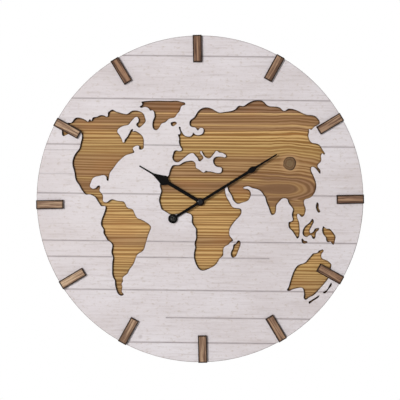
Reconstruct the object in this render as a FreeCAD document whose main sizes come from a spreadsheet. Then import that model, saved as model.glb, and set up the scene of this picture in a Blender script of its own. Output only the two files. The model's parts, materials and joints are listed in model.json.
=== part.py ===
import FreeCAD, Part
import math
import os
import re
import Sketcher

# World map wall clock, in millimetres.
# The wall is the plane y = 0 and the face looks along -Y, with +Z up and +X to the viewer's right.
# The origin is the round hole of the keyhole plate that takes the wall screw's head.

Vector = FreeCAD.Vector

# Driving dimensions, one spreadsheet cell each

SIZES = {
    # face and the panel behind it
    "dial_radius": 300,
    "dial_thickness": 6,
    "dial_edge_round": 1.2,
    "hub_drop": 5.6,
    "hanger_rise": 190,
    "groove_width": 1.4,
    "groove_depth": 0.8,
    "groove_tilt": 0.65,
    "panel_inset": 6,
    "panel_thickness": 10,
    # hour bars
    "bar_length": 50,
    "bar_width": 16.5,
    "bar_thickness": 6,
    "bar_chamfer": 0.7,
    "bar_overhang": 0.6,
    "ring_turn": 1,
    # battens, rail and keyhole plate
    "batten_depth": 22,
    "batten_width": 40,
    "batten_length": 460,
    "batten_offset": 110,
    "batten_end": 25,
    "rail_height": 60,
    "rail_screw_offset": 70,
    "plate_width": 64,
    "plate_height": 30,
    "plate_thickness": 2,
    "keyhole_radius": 5,
    "keyhole_slot_radius": 2.5,
    "keyhole_slot_rise": 8,
    "keyhole_pocket_depth": 9,
    "keyhole_pocket_margin": 3,
    "plate_screw_offset": 24,
    # wood screws
    "screw_radius": 2,
    "screw_head_radius": 4,
    "screw_head_height": 2.2,
    "screw_length": 26,
    "screw_sink": 2,
    "screw_tip": 4,
    "screw_slot": 0.9,
    "plate_screw_radius": 1.5,
    "plate_screw_head_radius": 3,
    "plate_screw_head_height": 1.5,
    "plate_screw_length": 14,
    "screw_clearance": 0.1,
    # movement case
    "case_side": 56,
    "case_wall": 1.5,
    "case_front": 1.2,
    "case_depth": 16,
    "case_corner": 3,
    "cover_thickness": 1.2,
    "bay_wall": 1,
    "bay_top": 10.3,
    "bay_wall_gap": 0.8,
    "cell_radius": 7.25,
    "cell_length": 50.5,
    "cell_nub_radius": 2.75,
    "cell_nub_length": 1.2,
    "cell_gap": 0.2,
    "contact_thickness": 0.4,
    "contact_width": 10,
    "contact_tab_width": 2,
    "contact_spring_radius": 3,
    "post_radius": 1.2,
    "post_inset": 1.5,
    "overlap": 0.3,
    "bearing_depth": 0.7,
    # bush and what clamps the panel
    "bush_radius": 4,
    "bush_length": 15.5,
    "bush_flange_radius": 6,
    "bush_flange_thickness": 0.6,
    "bush_hole_gap": 0.4,
    "gasket_radius": 9,
    "gasket_thickness": 1,
    "washer_radius": 6.4,
    "washer_thickness": 0.5,
    "nut_flats": 11.5,
    "nut_thickness": 2.2,
    # hands and arbors
    "shaft_fit": 0.06,
    "hour_tube_radius": 2.5,
    "hour_tube_reach": 18.8,
    "minute_arbor_radius": 1.6,
    "minute_arbor_bore": 0.7,
    "minute_arbor_reach": 22.2,
    "second_arbor_reach": 14,
    "hand_thickness": 0.6,
    "hour_hand_length": 129.4,
    "hour_hand_stem": 6.4,
    "hour_hand_spade": 75.7,
    "hour_hand_spade_width": 19,
    "hour_hand_hub_radius": 7.2,
    "hour_hand_angle": -59.3,
    "minute_hand_length": 165.4,
    "minute_hand_stem": 5,
    "minute_hand_spade": 113,
    "minute_hand_spade_width": 10.4,
    "minute_hand_hub_radius": 6.2,
    "minute_hand_angle": 58.25,
    "tail_length": 58.7,
    "tail_disc_radius": 8.6,
    "tail_dish_radius": 5.6,
    "tail_dish_depth": 0.2,
    "needle_tip": 2.4,
    "collet_wall": 1.1,
    "collet_length": 1.6,
    "collet_gap": 0.5,
    "hands_gap": 1.8,
    "hand_tube_show": 0.2,
    "cap_radius": 5.4,
    "cap_skirt": 0.9,
    "cap_height": 3.4,
    "cap_bore_depth": 1.4,
    # gear train: centre distances, directions of the arbors and levels from the case's front face
    "motor_distance": 7,
    "second_distance": 7.2,
    "third_distance": 8.5,
    "motion_distance": 8.8,
    "intermediate_angle": 0,
    "rotor_angle": 60,
    "third_angle": 80,
    "motion_angle": 180,
    "pivot_radius": 0.5,
    "wheel_thickness": 0.8,
    "pinion_lap": 0.2,
    "clutch_collar": 0.4,
    "arbor_play": 0.1,
    "hour_wheel_level": 1.7,
    "cannon_level": 3,
    "centre_wheel_level": 4.7,
    "bridge_level": 6.4,
    "bridge_thickness": 0.8,
    "bridge_left": 7,
    "bridge_right": 15,
    "bridge_bottom": 8,
    "bridge_top": 14,
    "bridge_pass_gap": 0.3,
    "third_wheel_level": 7.6,
    "second_wheel_level": 9,
    "intermediate_wheel_level": 10.4,
    "rotor_magnet_level": 11.7,
    "rotor_magnet_radius": 2.2,
    "rotor_magnet_length": 1.6,
    "stator_level": 12,
    "stator_thickness": 1,
    "stator_gap": 0.5,
    "stator_leg": 3,
    "stator_left": 5,
    "stator_right": 20,
    "stator_margin": 1,
    "coil_length": 7.8,
    "coil_radius": 2,
    "coil_height": 20.3,
    "coil_core_width": 2,
    "bobbin_radius": 1.42,
    "bobbin_flange": 0.6,
    "board_thickness": 1,
    "board_gap": 0.6,
    "board_bottom": 12,
    "board_step": 1,
    "board_strip_bottom": 22.6,
    "chip_left": 12,
    "chip_up": 18,
    "chip_radius": 2.6,
    "chip_height": 1.2,
    "crystal_radius": 0.8,
    "crystal_length": 6,
    "crystal_left": 23,
    "crystal_up": 20,
    "motion_arbor_radius": 0.9,
    "knob_radius": 5,
    "knob_height": 2,
    "knob_gap": 0.3,
    "knob_flute_radius": 0.6,
    "overrun": 1,
}

FLUTE_COUNT = 12
BOARD_COUNT = 5
HOUR_COUNT = 12
SCREWS_PER_BATTEN = 5

# Tooth counts of the going train and of the motion work under the hands
ROTOR_PINION = 8
INTERMEDIATE_WHEEL = 48
INTERMEDIATE_PINION = 8
SECOND_WHEEL = 40
SECOND_PINION = 8
THIRD_WHEEL = 60
THIRD_PINION = 8
CENTRE_WHEEL = 64
CANNON_PINION = 10
MOTION_WHEEL = 30
MOTION_PINION = 8
HOUR_WHEEL = 32

# One tooth: height over the pitch circle as a share of the module,
# and half thickness as a share of the tooth pitch
TOOTH_SHARES = [(-1.1, -0.25), (0, -0.2), (0.8, -0.08), (0.8, 0.08), (0, 0.2), (-1.1, 0.25)]

# Half of each hand's spade, from its stem to its needle, as shares of the spade's width:
# place along the hand from the widest point, and half width
HOUR_SPADE_SHARES = [(-0.56, 0.17), (-0.36, 0.22), (-0.18, 0.36), (0, 0.5), (0.3, 0.42), (0.7, 0.27),
                     (1.1, 0.14), (1.4, 0.08)]
MINUTE_SPADE_SHARES = [(-0.95, 0.24), (-0.62, 0.38), (-0.22, 0.5), (0.22, 0.46), (0.6, 0.29),
                       (0.98, 0.19)]

# Coasts, as shares of the dial's radius in hundredths, x to the right and z up from its centre.
# Each list runs once round the hole that is cut through the face board.
PER_HUNDRED_SHARE = 0.01

AMERICAS_SHARES = [
    (-80, 46.6), (-78, 47.4), (-76.6, 49.3), (-74.6, 49.8), (-72, 49.2), (-69.8, 48.1), (-68.5, 47.4),
    (-67.9, 48.4), (-67.3, 48.7), (-66.6, 47.7), (-66.1, 48.9), (-65.2, 50), (-63.5, 50.2), (-61.6, 51),
    (-60, 51.3), (-58, 50.7), (-56.8, 50.4), (-56.4, 51.6), (-56.3, 53), (-55.4, 53.7), (-53.6, 54.6),
    (-51.8, 53.7), (-50, 53), (-47, 52.2), (-44.5, 52), (-42.8, 53.2), (-41.2, 54), (-38.6, 54),
    (-36, 53.2), (-34.4, 51.8), (-33.6, 49.6), (-33.2, 47.6), (-34, 46.2), (-35, 45.2), (-36.2, 44.1),
    (-37.3, 43.5), (-38.2, 44.1), (-39.1, 45.5), (-38.5, 46.5), (-37.8, 47.2), (-37.7, 48.8),
    (-38.4, 50), (-39.6, 49.9), (-41, 48.6), (-42.5, 46.9), (-43.8, 45.3), (-45.4, 44.9), (-47.4, 44.4),
    (-49.2, 43.4), (-50.4, 42.1), (-50.5, 40.8), (-49.4, 39.4), (-48.6, 37.9), (-47.6, 35.9),
    (-47, 34.6), (-46.6, 34.6), (-46.2, 35.8), (-45, 37.5), (-43.9, 39.2), (-42.9, 41.2), (-41.9, 42.6),
    (-41.2, 42.8), (-41, 42), (-41.2, 41.3), (-40.4, 41.5), (-39.2, 41.4), (-37.4, 40.4), (-35.8, 39.1),
    (-34.7, 37.3), (-34.3, 35), (-34.4, 32.6), (-34.6, 31), (-35.6, 30.2), (-36.8, 30.1), (-37.4, 30.8),
    (-37.3, 32.2), (-38.4, 32.6), (-40, 32), (-41.1, 30.9), (-40.6, 29.6), (-40.2, 28.6), (-41.4, 27.8),
    (-44, 27.1), (-45.8, 26.4), (-47.6, 25), (-49.8, 22.9), (-51.8, 20.4), (-53.6, 17.9), (-55.2, 15.6),
    (-55.6, 13.6), (-55.8, 12), (-56.3, 11), (-57, 11.3), (-57.3, 13.2), (-58.4, 14.3), (-61.5, 14),
    (-64.2, 13.4), (-65.8, 12.2), (-66.9, 9.6), (-67.4, 7.9), (-66.4, 6.6), (-64.8, 6.3), (-63.6, 6.9),
    (-62.6, 8), (-61.4, 8), (-61.1, 6.8), (-61.5, 5.2), (-60.6, 3.8), (-59.6, 2.6), (-59.4, 0.6),
    (-59.2, -1.5), (-58, -2.1), (-56.4, -1.7), (-55, -0.5), (-53.4, -0.3), (-51.4, -0.9), (-49, -1.3),
    (-46.9, -1.6), (-45.7, -2.9), (-45, -4.6), (-43.6, -5.7), (-41.6, -6.2), (-40.4, -7.8),
    (-39.4, -10.2), (-38.2, -11.8), (-36, -12.6), (-33.6, -13.9), (-31.2, -15.5), (-30, -17.3),
    (-30.6, -19.6), (-31.8, -22.6), (-32.8, -26), (-33.7, -29.2), (-34.6, -31.5), (-36.6, -33),
    (-38.6, -34.6), (-39.5, -36.8), (-40.4, -39.4), (-42, -41.8), (-43.4, -43.8), (-44.4, -45.8),
    (-46.4, -47.3), (-47.3, -48.8), (-47.1, -50.4), (-47.9, -52), (-47.6, -53.4), (-47.8, -55.6),
    (-47.5, -57.4), (-46.7, -58.4), (-47.4, -59.2), (-49.2, -59), (-50.4, -57.9), (-51.5, -54.8),
    (-52.1, -52), (-52.2, -50), (-53.2, -48.2), (-53.8, -45.6), (-53.8, -41), (-53.6, -38),
    (-53.3, -36), (-54.2, -33.2), (-54, -30.6), (-53.7, -28.4), (-54.8, -26.6), (-56.6, -25.4),
    (-57.9, -23.2), (-59.2, -20.4), (-59.1, -18.9), (-60.3, -16.8), (-60.7, -14.6), (-60.1, -12),
    (-58.9, -9), (-58, -6.4), (-58.1, -4.6), (-59.3, -4.5), (-60.3, -4.5), (-61.6, -3), (-63, -0.9),
    (-64.3, 1.1), (-66.2, 2.2), (-68.2, 2.7), (-69.6, 2.5), (-71.1, 3.7), (-72.8, 6), (-74.2, 8.7),
    (-75.6, 10.6), (-76.6, 13.5), (-77, 16.6), (-77.9, 19.6), (-78.1, 23), (-77.2, 26.1),
    (-75.4, 28.9), (-74, 30.6), (-73.3, 33.2), (-72.6, 36), (-72.3, 38.6), (-73, 40.7), (-74.8, 41.4),
    (-77.4, 40.9), (-79.6, 40), (-82, 39), (-83.8, 38.5), (-84.4, 39.2), (-84.5, 41), (-84.7, 42.8),
    (-83.6, 44.4), (-82, 45.6),
]

GREENLAND_SHARES = [
    (-35.7, 59.5), (-33, 59.9), (-29, 60.1), (-23, 60.1), (-17, 60), (-13.6, 60), (-11, 59.3),
    (-9.3, 58.8), (-9, 57.8), (-10.6, 57.1), (-11.7, 56), (-12.2, 54.2), (-13, 53), (-14.1, 51.8),
    (-14.9, 50.4), (-16.4, 49.5), (-18.6, 49), (-20, 48), (-21.4, 46.7), (-23.4, 46), (-24.2, 44.9),
    (-25.2, 43.2), (-26.8, 42), (-28.2, 42.4), (-29.1, 44.2), (-29.1, 46.6), (-28.6, 48.6),
    (-27.9, 50.2), (-28, 52), (-28.5, 53.6), (-29.4, 54.1), (-30.4, 54), (-31.4, 55.2), (-32.6, 56),
    (-34.6, 56.1), (-36.2, 55.7), (-36.9, 56.4), (-36, 57.1), (-35.4, 58),
]

ICELAND_SHARES = [
    (-17.8, 46.8), (-16.4, 47.2), (-14.8, 47.1), (-14.2, 46.2), (-15.2, 45.1), (-16.4, 44.4),
    (-17.5, 44.8), (-18, 45.9),
]

# Brittany, Iberia, Italy and the Balkans to the Black Sea, then Anatolia, the Levant, Africa,
# Arabia, India, the far east, Siberia and Scandinavia back to the Channel
OLD_WORLD_SHARES = [
    (-12.9, 36), (-12.8, 33.8), (-12, 31.8), (-11.2, 30), (-12.2, 29.3),
    (-14.4, 29.7), (-15.8, 29.3), (-16.5, 27.6), (-17, 25.2), (-16.4, 23.6), (-14.8, 22.4),
    (-13.2, 22.4), (-11.6, 23.4), (-9.6, 25), (-7.4, 26.9), (-5.6, 27.8), (-4.2, 27.8), (-2.8, 26.3),
    (-1.4, 24.5), (-0.9, 23.2), (-0.1, 22.9), (1.2, 23.8), (2.1, 25.1), (1.4, 26.6), (0.2, 28.8),
    (0.4, 29.2), (1.7, 27.4), (3.2, 25.5), (4.8, 24.7), (6.2, 24.9), (7.6, 26.4), (8.8, 27.9),
    (9.8, 29.2), (10.5, 29.3), (11.6, 28.4), (13.4, 28.1), (14.8, 27.4), (15.8, 26.4), (15.6, 25.6),
    (14, 25.6), (12, 25.9), (10, 25.8), (8.6, 25), (8, 23.8), (8.1, 22.2), (8.8, 20.8), (10, 19.7),
    (12, 19.3), (13.2, 18.8), (13.3, 17.6), (12.8, 16.2), (11.6, 15.8), (9, 16.1), (6, 16.8),
    (4.6, 16.9), (3.5, 17.2), (2.6, 16.3), (1.4, 16.5), (0, 17.6), (-1.4, 18.4), (-2.4, 19.2),
    (-2.6, 20.8), (-3, 22.2), (-4.4, 23.2), (-7.6, 23.1), (-10.2, 22.4), (-12.6, 20.9), (-14.6, 20.7),
    (-16.6, 20.5), (-17.9, 18.8), (-18.7, 16.6), (-19.4, 14.2), (-21, 12.8), (-23.2, 11),
    (-24.5, 9.2), (-24.4, 7), (-23.8, 5), (-24.1, 3.4), (-24.9, 0.9), (-25.1, -1.4), (-24.4, -4),
    (-23.4, -6.5), (-22, -7.4), (-20.2, -8.5), (-18.2, -9.6), (-16, -9.8), (-14, -9.4), (-11.8, -8.9),
    (-9.4, -8.5), (-7.4, -8.9), (-5.6, -9.7), (-5, -11), (-5.1, -13.6), (-4.6, -15.6), (-3.4, -17.1),
    (-2.5, -19.2), (-2.6, -21), (-2.4, -23.6), (-3, -25.8), (-3.4, -27.6), (-3, -29.6),
    (-3.4, -31.4), (-3.8, -34.4), (-3.6, -36.8), (-2.8, -39.4), (-1.6, -41.8), (-0.2, -43.4),
    (1.8, -44), (4.4, -43.3), (7.6, -41.8), (9.6, -40.4), (11, -38.4), (12.6, -36.1), (14.1, -34.8),
    (14.3, -33), (14.4, -30.6), (15.4, -29.1), (17.6, -27.9), (19, -26.4), (20.2, -25.6),
    (19.4, -24), (18.1, -22.1), (17.9, -20.2), (18.6, -17.8), (20.1, -15.4), (22.2, -12.8),
    (24.4, -10.5), (25.4, -8.2), (25, -6.2), (23.4, -5.7), (21.4, -5.5), (19.9, -4.9),
    (18.8, -3.2), (17.8, -1.3), (16.6, 0.6), (15.7, 3), (15.3, 5.4), (15.5, 7.2), (16.3, 7.7),
    (16.9, 6.6), (17.3, 5), (18.6, 3), (19.5, 1.4), (20, -0.4), (21.2, -1.9), (22.6, -3),
    (24.2, -3), (26, -2.3), (28.2, -1.7), (29.9, -0.5), (30.8, 1.1), (31.2, 3), (30.6, 4.8),
    (29.2, 6), (27.6, 6.2), (26.5, 6.7), (27.6, 7.3), (29.6, 7.6), (31.6, 6.7), (34, 6.1),
    (36, 5.4), (37.7, 4), (39, 2.1), (39.9, 0.6), (40.4, -1.4), (41.4, -4), (42.3, -6.4),
    (43.1, -8.8), (44.2, -9.9), (45.4, -9.5), (46.3, -8.2), (46.6, -6), (46.8, -4), (47.7, -2.6),
    (49, -1.1), (50.4, 0.1), (52, 0.3), (53.3, -0.2), (53.9, -1.8), (54.8, -3.5), (56.2, -5.2),
    (56.9, -6.8), (56.4, -8.4), (56.4, -11), (56.6, -13.2), (55.6, -13.9), (54.4, -14.2),
    (54.1, -16), (54.6, -18), (56, -19.3), (57.3, -21.1), (58.5, -23), (59.6, -24.3),
    (60.4, -23.8), (60.9, -22), (61.1, -19.6), (60.9, -17), (60.7, -14.6), (59.9, -12.4),
    (59.4, -10.4), (60, -9.2), (61, -9.9), (62.2, -11.1), (63.6, -10.4), (64.4, -8.4),
    (64.7, -6.4), (64.1, -4.2), (63.6, -2), (64, -0.7), (66.2, 0.2), (68.4, 1.4), (69.9, 3.2),
    (70.9, 5.6), (71.2, 8.4), (70.7, 11), (69.7, 13.6), (68.6, 16), (67.9, 18.1), (68.5, 19.5),
    (69.8, 19.3), (71.2, 18), (72.6, 16.2), (73.4, 15.4), (73.8, 16.8), (72.9, 18.6),
    (72, 19.9), (72.6, 21.4), (74, 22.8), (74.2, 24.8), (74.2, 26.8), (75, 27.7), (75.9, 27.1),
    (76.5, 27.4), (76.2, 28.4), (75.2, 29.8), (74.2, 31.6), (73.2, 32.9), (71, 33.9), (68.6, 34.4),
    (67.3, 35.6), (66.5, 37.6), (66.4, 39.4), (66.8, 41.2), (66.8, 42.6), (68, 42.3), (69.2, 43.2),
    (71.2, 44.7), (73.3, 46.2), (73.3, 47.4), (72.2, 49.2), (70.6, 50.6), (68, 51.3), (64.8, 51.6),
    (62.2, 52.8), (59, 54.3), (55.8, 55.2), (53.6, 55), (52.2, 54), (50.8, 54.1), (49.4, 55.5),
    (47.4, 56.3), (44.5, 56.5), (42, 56.9), (40.5, 57.9), (39, 59.5), (36.6, 60.4), (33.6, 60.3),
    (30.6, 59.3), (28.2, 57.8), (26.6, 56.8), (24.4, 57), (23, 56.5), (21.9, 55.1), (20.4, 54.2),
    (17.6, 53.5), (14.4, 53.1), (12, 52.8), (10, 53.6), (7.8, 54.9), (5, 55.9), (2.2, 55.8),
    (0.2, 54.9), (-1.4, 53.4), (-2.6, 51.4), (-4.2, 49.4), (-5.9, 48.2), (-6.5, 46.6), (-6.1, 44.7),
    (-4.8, 43.9), (-3, 43.6), (-2.1, 42.6), (-1.4, 41.8), (-0.5, 42.7), (0.6, 43.4), (1.9, 42.9),
    (2.1, 41.4), (1.4, 39.9), (0, 39.2), (-2.4, 39.2), (-3.4, 39.9), (-4.1, 40.5), (-4.7, 39.4),
    (-5.8, 38.3), (-8, 38.2), (-9.6, 39), (-10.9, 40.7), (-11.8, 42.9), (-12.2, 44.1), (-12.9, 44.1),
    (-12.9, 43), (-12.2, 41), (-12.5, 39.6), (-13.4, 39.4), (-13.2, 38.2),
]

MADAGASCAR_SHARES = [
    (23.4, -25.5), (24.5, -25.8), (24.9, -27.4), (24, -30.4), (22.9, -33.2), (21.6, -35.5),
    (20, -36), (18.9, -34.6), (19.2, -32), (20.1, -30), (20.6, -28), (22.2, -27),
]

BORNEO_SHARES = [
    (69.1, -12.4), (69.7, -13.8), (68.8, -16), (67.6, -18.2), (67.1, -20), (67.6, -20.9),
    (68.6, -20.6), (69.5, -19.8), (70.2, -18.4), (71.6, -17.9), (72.8, -17.9), (72.8, -18.9),
    (71.5, -20.1), (70.8, -21.8), (70.6, -23.6), (69.6, -24.6), (68.6, -23.8), (68, -22.4),
    (67, -22.4), (65.6, -23.3), (63.8, -22.9), (62.7, -21), (63.1, -18.8), (64.2, -16.9),
    (66.2, -15.2), (67.8, -13.4),
]

JAVA_SHARES = [
    (62.6, -24.3), (63.3, -24.9), (63.9, -25.6), (65.2, -25.8), (65.8, -26.6), (64.8, -27.3),
    (63, -27.3), (62.2, -26.2),
]

PHILIPPINES_SHARES = [
    (71.9, -2.2), (72.7, -3.2), (72.6, -5.2), (73.1, -6.6), (73.6, -8), (72.8, -8.5), (71.5, -7.2),
    (70.9, -5.4), (71.1, -3.2),
]

NEW_GUINEA_SHARES = [
    (75.6, -16.8), (76.4, -17.5), (77.4, -18.2), (79.2, -18.3), (80.6, -19.5), (82.2, -21.5),
    (83, -23.6), (82.6, -25.4), (82.3, -27), (81.7, -28.1), (80.7, -27.4), (79.8, -26.3),
    (78.4, -26.6), (77.3, -25.6), (76.9, -23.6), (75.6, -22), (74.8, -20), (74.9, -17.8),
]

AUSTRALIA_SHARES = [
    (75.2, -31), (75.7, -31.9), (74.8, -33.2), (74.2, -35), (74.7, -36.3), (77, -37.4), (79.2, -38.7),
    (80.4, -40.2), (80.1, -42.6), (79.9, -45.2), (79, -47.8), (77.4, -50.4), (75.2, -53),
    (73.4, -55), (71.4, -57.3), (69, -59.4), (66.4, -60.7), (64.5, -61.8), (63.5, -60.9),
    (63.6, -58.8), (63.4, -56.4), (62.8, -54.8), (60.8, -54.5), (58.8, -54.9), (56.4, -55.6),
    (54.4, -56.4), (53.3, -56), (54, -54.2), (54.9, -51.4), (55.8, -48.4), (56.9, -45.2),
    (58.2, -42.6), (60, -40.6), (62, -39.8), (64, -39.1), (66, -37), (67.8, -34.9), (69.6, -33.3),
    (71.8, -32.9), (72.9, -31.6), (74, -31.3),
]

NEW_ZEALAND_NORTH_SHARES = [
    (80.4, -51.4), (80.7, -52.6), (79.5, -54.4), (78, -56.3), (76.2, -57.9), (75.2, -57.5),
    (76.4, -56.5), (78, -55.1), (79, -53.2), (79.8, -51.8),
]

NEW_ZEALAND_SOUTH_SHARES = [
    (73.1, -59.1), (72.4, -60.4), (70.4, -61.8), (68.4, -63.2), (66.8, -64.2), (66.4, -63.4),
    (68, -62.1), (69.8, -60.9), (71.6, -59.8),
]

COASTS = {
    "Americas": AMERICAS_SHARES,
    "Greenland": GREENLAND_SHARES,
    "Iceland": ICELAND_SHARES,
    "OldWorld": OLD_WORLD_SHARES,
    "Madagascar": MADAGASCAR_SHARES,
    "Borneo": BORNEO_SHARES,
    "Java": JAVA_SHARES,
    "Philippines": PHILIPPINES_SHARES,
    "NewGuinea": NEW_GUINEA_SHARES,
    "Australia": AUSTRALIA_SHARES,
    "NewZealandNorth": NEW_ZEALAND_NORTH_SHARES,
    "NewZealandSouth": NEW_ZEALAND_SOUTH_SHARES,
}

# Scored plank lines, in hundredths of the dial's radius: left end, right end and height at x = 0.
# An end at a hundred or beyond runs off the rim.
PLANK_SHARES = [
    (-120, 120, 87.3),
    (-120, 120, 60.8),
    (-120, 120, 32.6),
    (-120, 120, 2.6),
    (-120, 120, -26.3),
    (-120, 42.5, -36.1),
    (-120, 120, -56.1),
    (-21, 120, -72.9),
    (-120, 120, -88.1),
]


# Spreadsheet and formulas

doc = FreeCAD.newDocument("WorldTimeClock")
sheet = doc.addObject("Spreadsheet::Sheet", "Sizes")
for row, (size_name, size_value) in enumerate(SIZES.items(), start=1):
    sheet.set(f"A{row}", size_name)
    sheet.set(f"B{row}", str(size_value))
    sheet.setAlias(f"B{row}", size_name)
doc.recompute()


def formula(text):
    """The text with each size's name pointed at its cell."""
    return re.sub(r"[a-z][a-z_]+", lambda word: f"Sizes.{word[0]}" if word[0] in SIZES else word[0], text)


def value(text):
    return float(sheet.evalExpression(formula(text)))


def bind(item, **properties):
    """Bind properties of an object to formulas; a double underscore stands for a dot."""
    for name, text in properties.items():
        item.setExpression(name.replace("__", "."), formula(text))


def place(item, x, y, z):
    bind(item, Placement__Base__x=x, Placement__Base__y=y, Placement__Base__z=z)


def pitch_radius(distance, teeth, mate_teeth):
    """Formula for a wheel's pitch radius at a centre distance."""
    return f"({distance} * {teeth} / {teeth + mate_teeth})"


# Levels and places that several pieces share

PANEL_FRONT = "(-batten_depth - panel_thickness)"
DIAL_FRONT = "(-batten_depth - panel_thickness - dial_thickness)"
DIAL_Z = "(-hanger_rise)"
HUB_Z = "(-hanger_rise - hub_drop)"
CASE_FRONT = "(gasket_thickness - batten_depth)"
CASE_FLOOR = "case_front"
CASE_HALF = "(case_side / 2)"
COVER_LEVEL = "(case_depth - cover_thickness)"
INNER_HALF = "(case_side / 2 - case_wall)"
BAY_CEILING = "(-bay_top - bay_wall)"
CELL_HEIGHT = "(-bay_top - bay_wall - cell_gap - cell_radius)"
CELL_LEVEL = "(case_front + cell_gap + cell_radius)"
PANEL_RADIUS = "(dial_radius - panel_inset)"
SCREW_SPACING = f"((batten_length - 2 * batten_end) / {SCREWS_PER_BATTEN - 1})"

# Arbors, as the distance right of and above the hub
ARBORS = {
    "centre": ("0", "0"),
    "intermediate": ("(second_distance * cos(intermediate_angle))",
                     "(second_distance * sin(intermediate_angle))"),
    "rotor": ("(second_distance * cos(intermediate_angle) + motor_distance * cos(rotor_angle))",
              "(second_distance * sin(intermediate_angle) + motor_distance * sin(rotor_angle))"),
    "third": ("(third_distance * cos(third_angle))", "(third_distance * sin(third_angle))"),
    "motion": ("(motion_distance * cos(motion_angle))", "(motion_distance * sin(motion_angle))"),
}

# Pitch radii: each pair of wheels shares its centre distance by its tooth counts
ROTOR_PINION_RADIUS = pitch_radius("motor_distance", ROTOR_PINION, INTERMEDIATE_WHEEL)
INTERMEDIATE_WHEEL_RADIUS = pitch_radius("motor_distance", INTERMEDIATE_WHEEL, ROTOR_PINION)
INTERMEDIATE_PINION_RADIUS = pitch_radius("second_distance", INTERMEDIATE_PINION, SECOND_WHEEL)
SECOND_WHEEL_RADIUS = pitch_radius("second_distance", SECOND_WHEEL, INTERMEDIATE_PINION)
SECOND_PINION_RADIUS = pitch_radius("third_distance", SECOND_PINION, THIRD_WHEEL)
THIRD_WHEEL_RADIUS = pitch_radius("third_distance", THIRD_WHEEL, SECOND_PINION)
THIRD_PINION_RADIUS = pitch_radius("third_distance", THIRD_PINION, CENTRE_WHEEL)
CENTRE_WHEEL_RADIUS = pitch_radius("third_distance", CENTRE_WHEEL, THIRD_PINION)
CANNON_PINION_RADIUS = pitch_radius("motion_distance", CANNON_PINION, MOTION_WHEEL)
MOTION_WHEEL_RADIUS = pitch_radius("motion_distance", MOTION_WHEEL, CANNON_PINION)
MOTION_PINION_RADIUS = pitch_radius("motion_distance", MOTION_PINION, HOUR_WHEEL)
HOUR_WHEEL_RADIUS = pitch_radius("motion_distance", HOUR_WHEEL, MOTION_PINION)

# Where the ends of the arbors lie
CASE_BEARING = "(case_front - bearing_depth + arbor_play)"
BRIDGE_BEARING = "(bridge_level + arbor_play)"
COVER_BEARING = "(case_depth - cover_thickness + bearing_depth - arbor_play)"

# Motor irons
CORE_LEVEL = "(stator_level - stator_thickness)"
STATOR_HOLE = "(rotor_magnet_radius + stator_gap)"
STATOR_FOOT = f"({ARBORS['rotor'][1]} - {STATOR_HOLE} - stator_margin)"

TOUCH = value("overrun") / 1000


# Building blocks

finished = []


def label(item, node):
    """Name the finished sub-part; the name is its file's name too."""
    item.Label = node
    finished.append(item)


def box(name, x, y, z, dx, dy, dz):
    item = doc.addObject("Part::Box", name)
    bind(item, Length=dx, Width=dy, Height=dz)
    place(item, x, y, z)
    return item


def case_box(name, left, level, bottom, dx, dy, dz):
    """A box inside the movement: left and bottom from the hub, level from the case's front."""
    return box(name, left, f"{CASE_FRONT} + {level}", f"{HUB_Z} + {bottom}", dx, dy, dz)


def rod(name, x, y, z, radius, length):
    """A cylinder along +Y from y."""
    item = doc.addObject("Part::Cylinder", name)
    item.Placement.Rotation = FreeCAD.Rotation(Vector(1, 0, 0), -90)
    bind(item, Radius=radius, Height=length)
    place(item, x, y, z)
    return item


def case_rod(name, arbor, level, radius, length):
    """A rod inside the movement on an arbor or a place beside the hub."""
    x, z = ARBORS.get(arbor, arbor)
    return rod(name, x, f"{CASE_FRONT} + {level}", f"{HUB_Z} + {z}", radius, length)


def cone(name, x, y, z, first_radius, last_radius, length):
    item = doc.addObject("Part::Cone", name)
    item.Placement.Rotation = FreeCAD.Rotation(Vector(1, 0, 0), -90)
    bind(item, Radius1=first_radius, Radius2=last_radius, Height=length)
    place(item, x, y, z)
    return item


def cross_rod(name, x, y, z, radius, length):
    """A cylinder along +X from x."""
    item = doc.addObject("Part::Cylinder", name)
    item.Placement.Rotation = FreeCAD.Rotation(Vector(0, 1, 0), 90)
    bind(item, Radius=radius, Height=length)
    place(item, x, y, z)
    return item


def fuse(name, pieces):
    item = doc.addObject("Part::MultiFuse", name)
    item.Shapes = pieces
    return item


def cut(name, base, tools):
    item = doc.addObject("Part::Cut", name)
    item.Base = base
    item.Tool = tools[0] if len(tools) == 1 else fuse(f"{name}Tools", tools)
    return item


def tube(name, x, y, z, radius, bore, length):
    """A ring or sleeve along +Y from y."""
    outside = rod(f"{name}Outside", x, y, z, radius, length)
    inside = rod(f"{name}Inside", x, f"{y} - overrun", z, bore, f"{length} + 2 * overrun")
    return cut(name, outside, [inside])


def gather(name, pieces):
    item = doc.addObject("Part::Compound", name)
    item.Links = pieces
    return item


def common(name, first, second):
    item = doc.addObject("Part::Common", name)
    item.Base = first
    item.Tool = second
    return item


def extrude(name, wire, thickness):
    """A closed wire in a plane of constant y, thickened along +Y."""
    profile = doc.addObject("Part::Feature", f"{name}Outline")
    profile.Shape = wire
    item = doc.addObject("Part::Extrusion", name)
    item.Base = profile
    item.DirMode = "Custom"
    item.Dir = Vector(0, 1, 0)
    item.Solid = True
    bind(item, LengthFwd=thickness)
    return item


def smooth_loop(points):
    """A closed curve through points given as x and z."""
    curve = Part.BSplineCurve()
    curve.interpolate([Vector(x, 0, z) for x, z in points], PeriodicFlag=True)
    return Part.Wire(curve.toShape())


def new_body(name, y):
    body = doc.addObject("PartDesign::Body", name)
    bind(body, Placement__Base__y=y)
    return body


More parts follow.
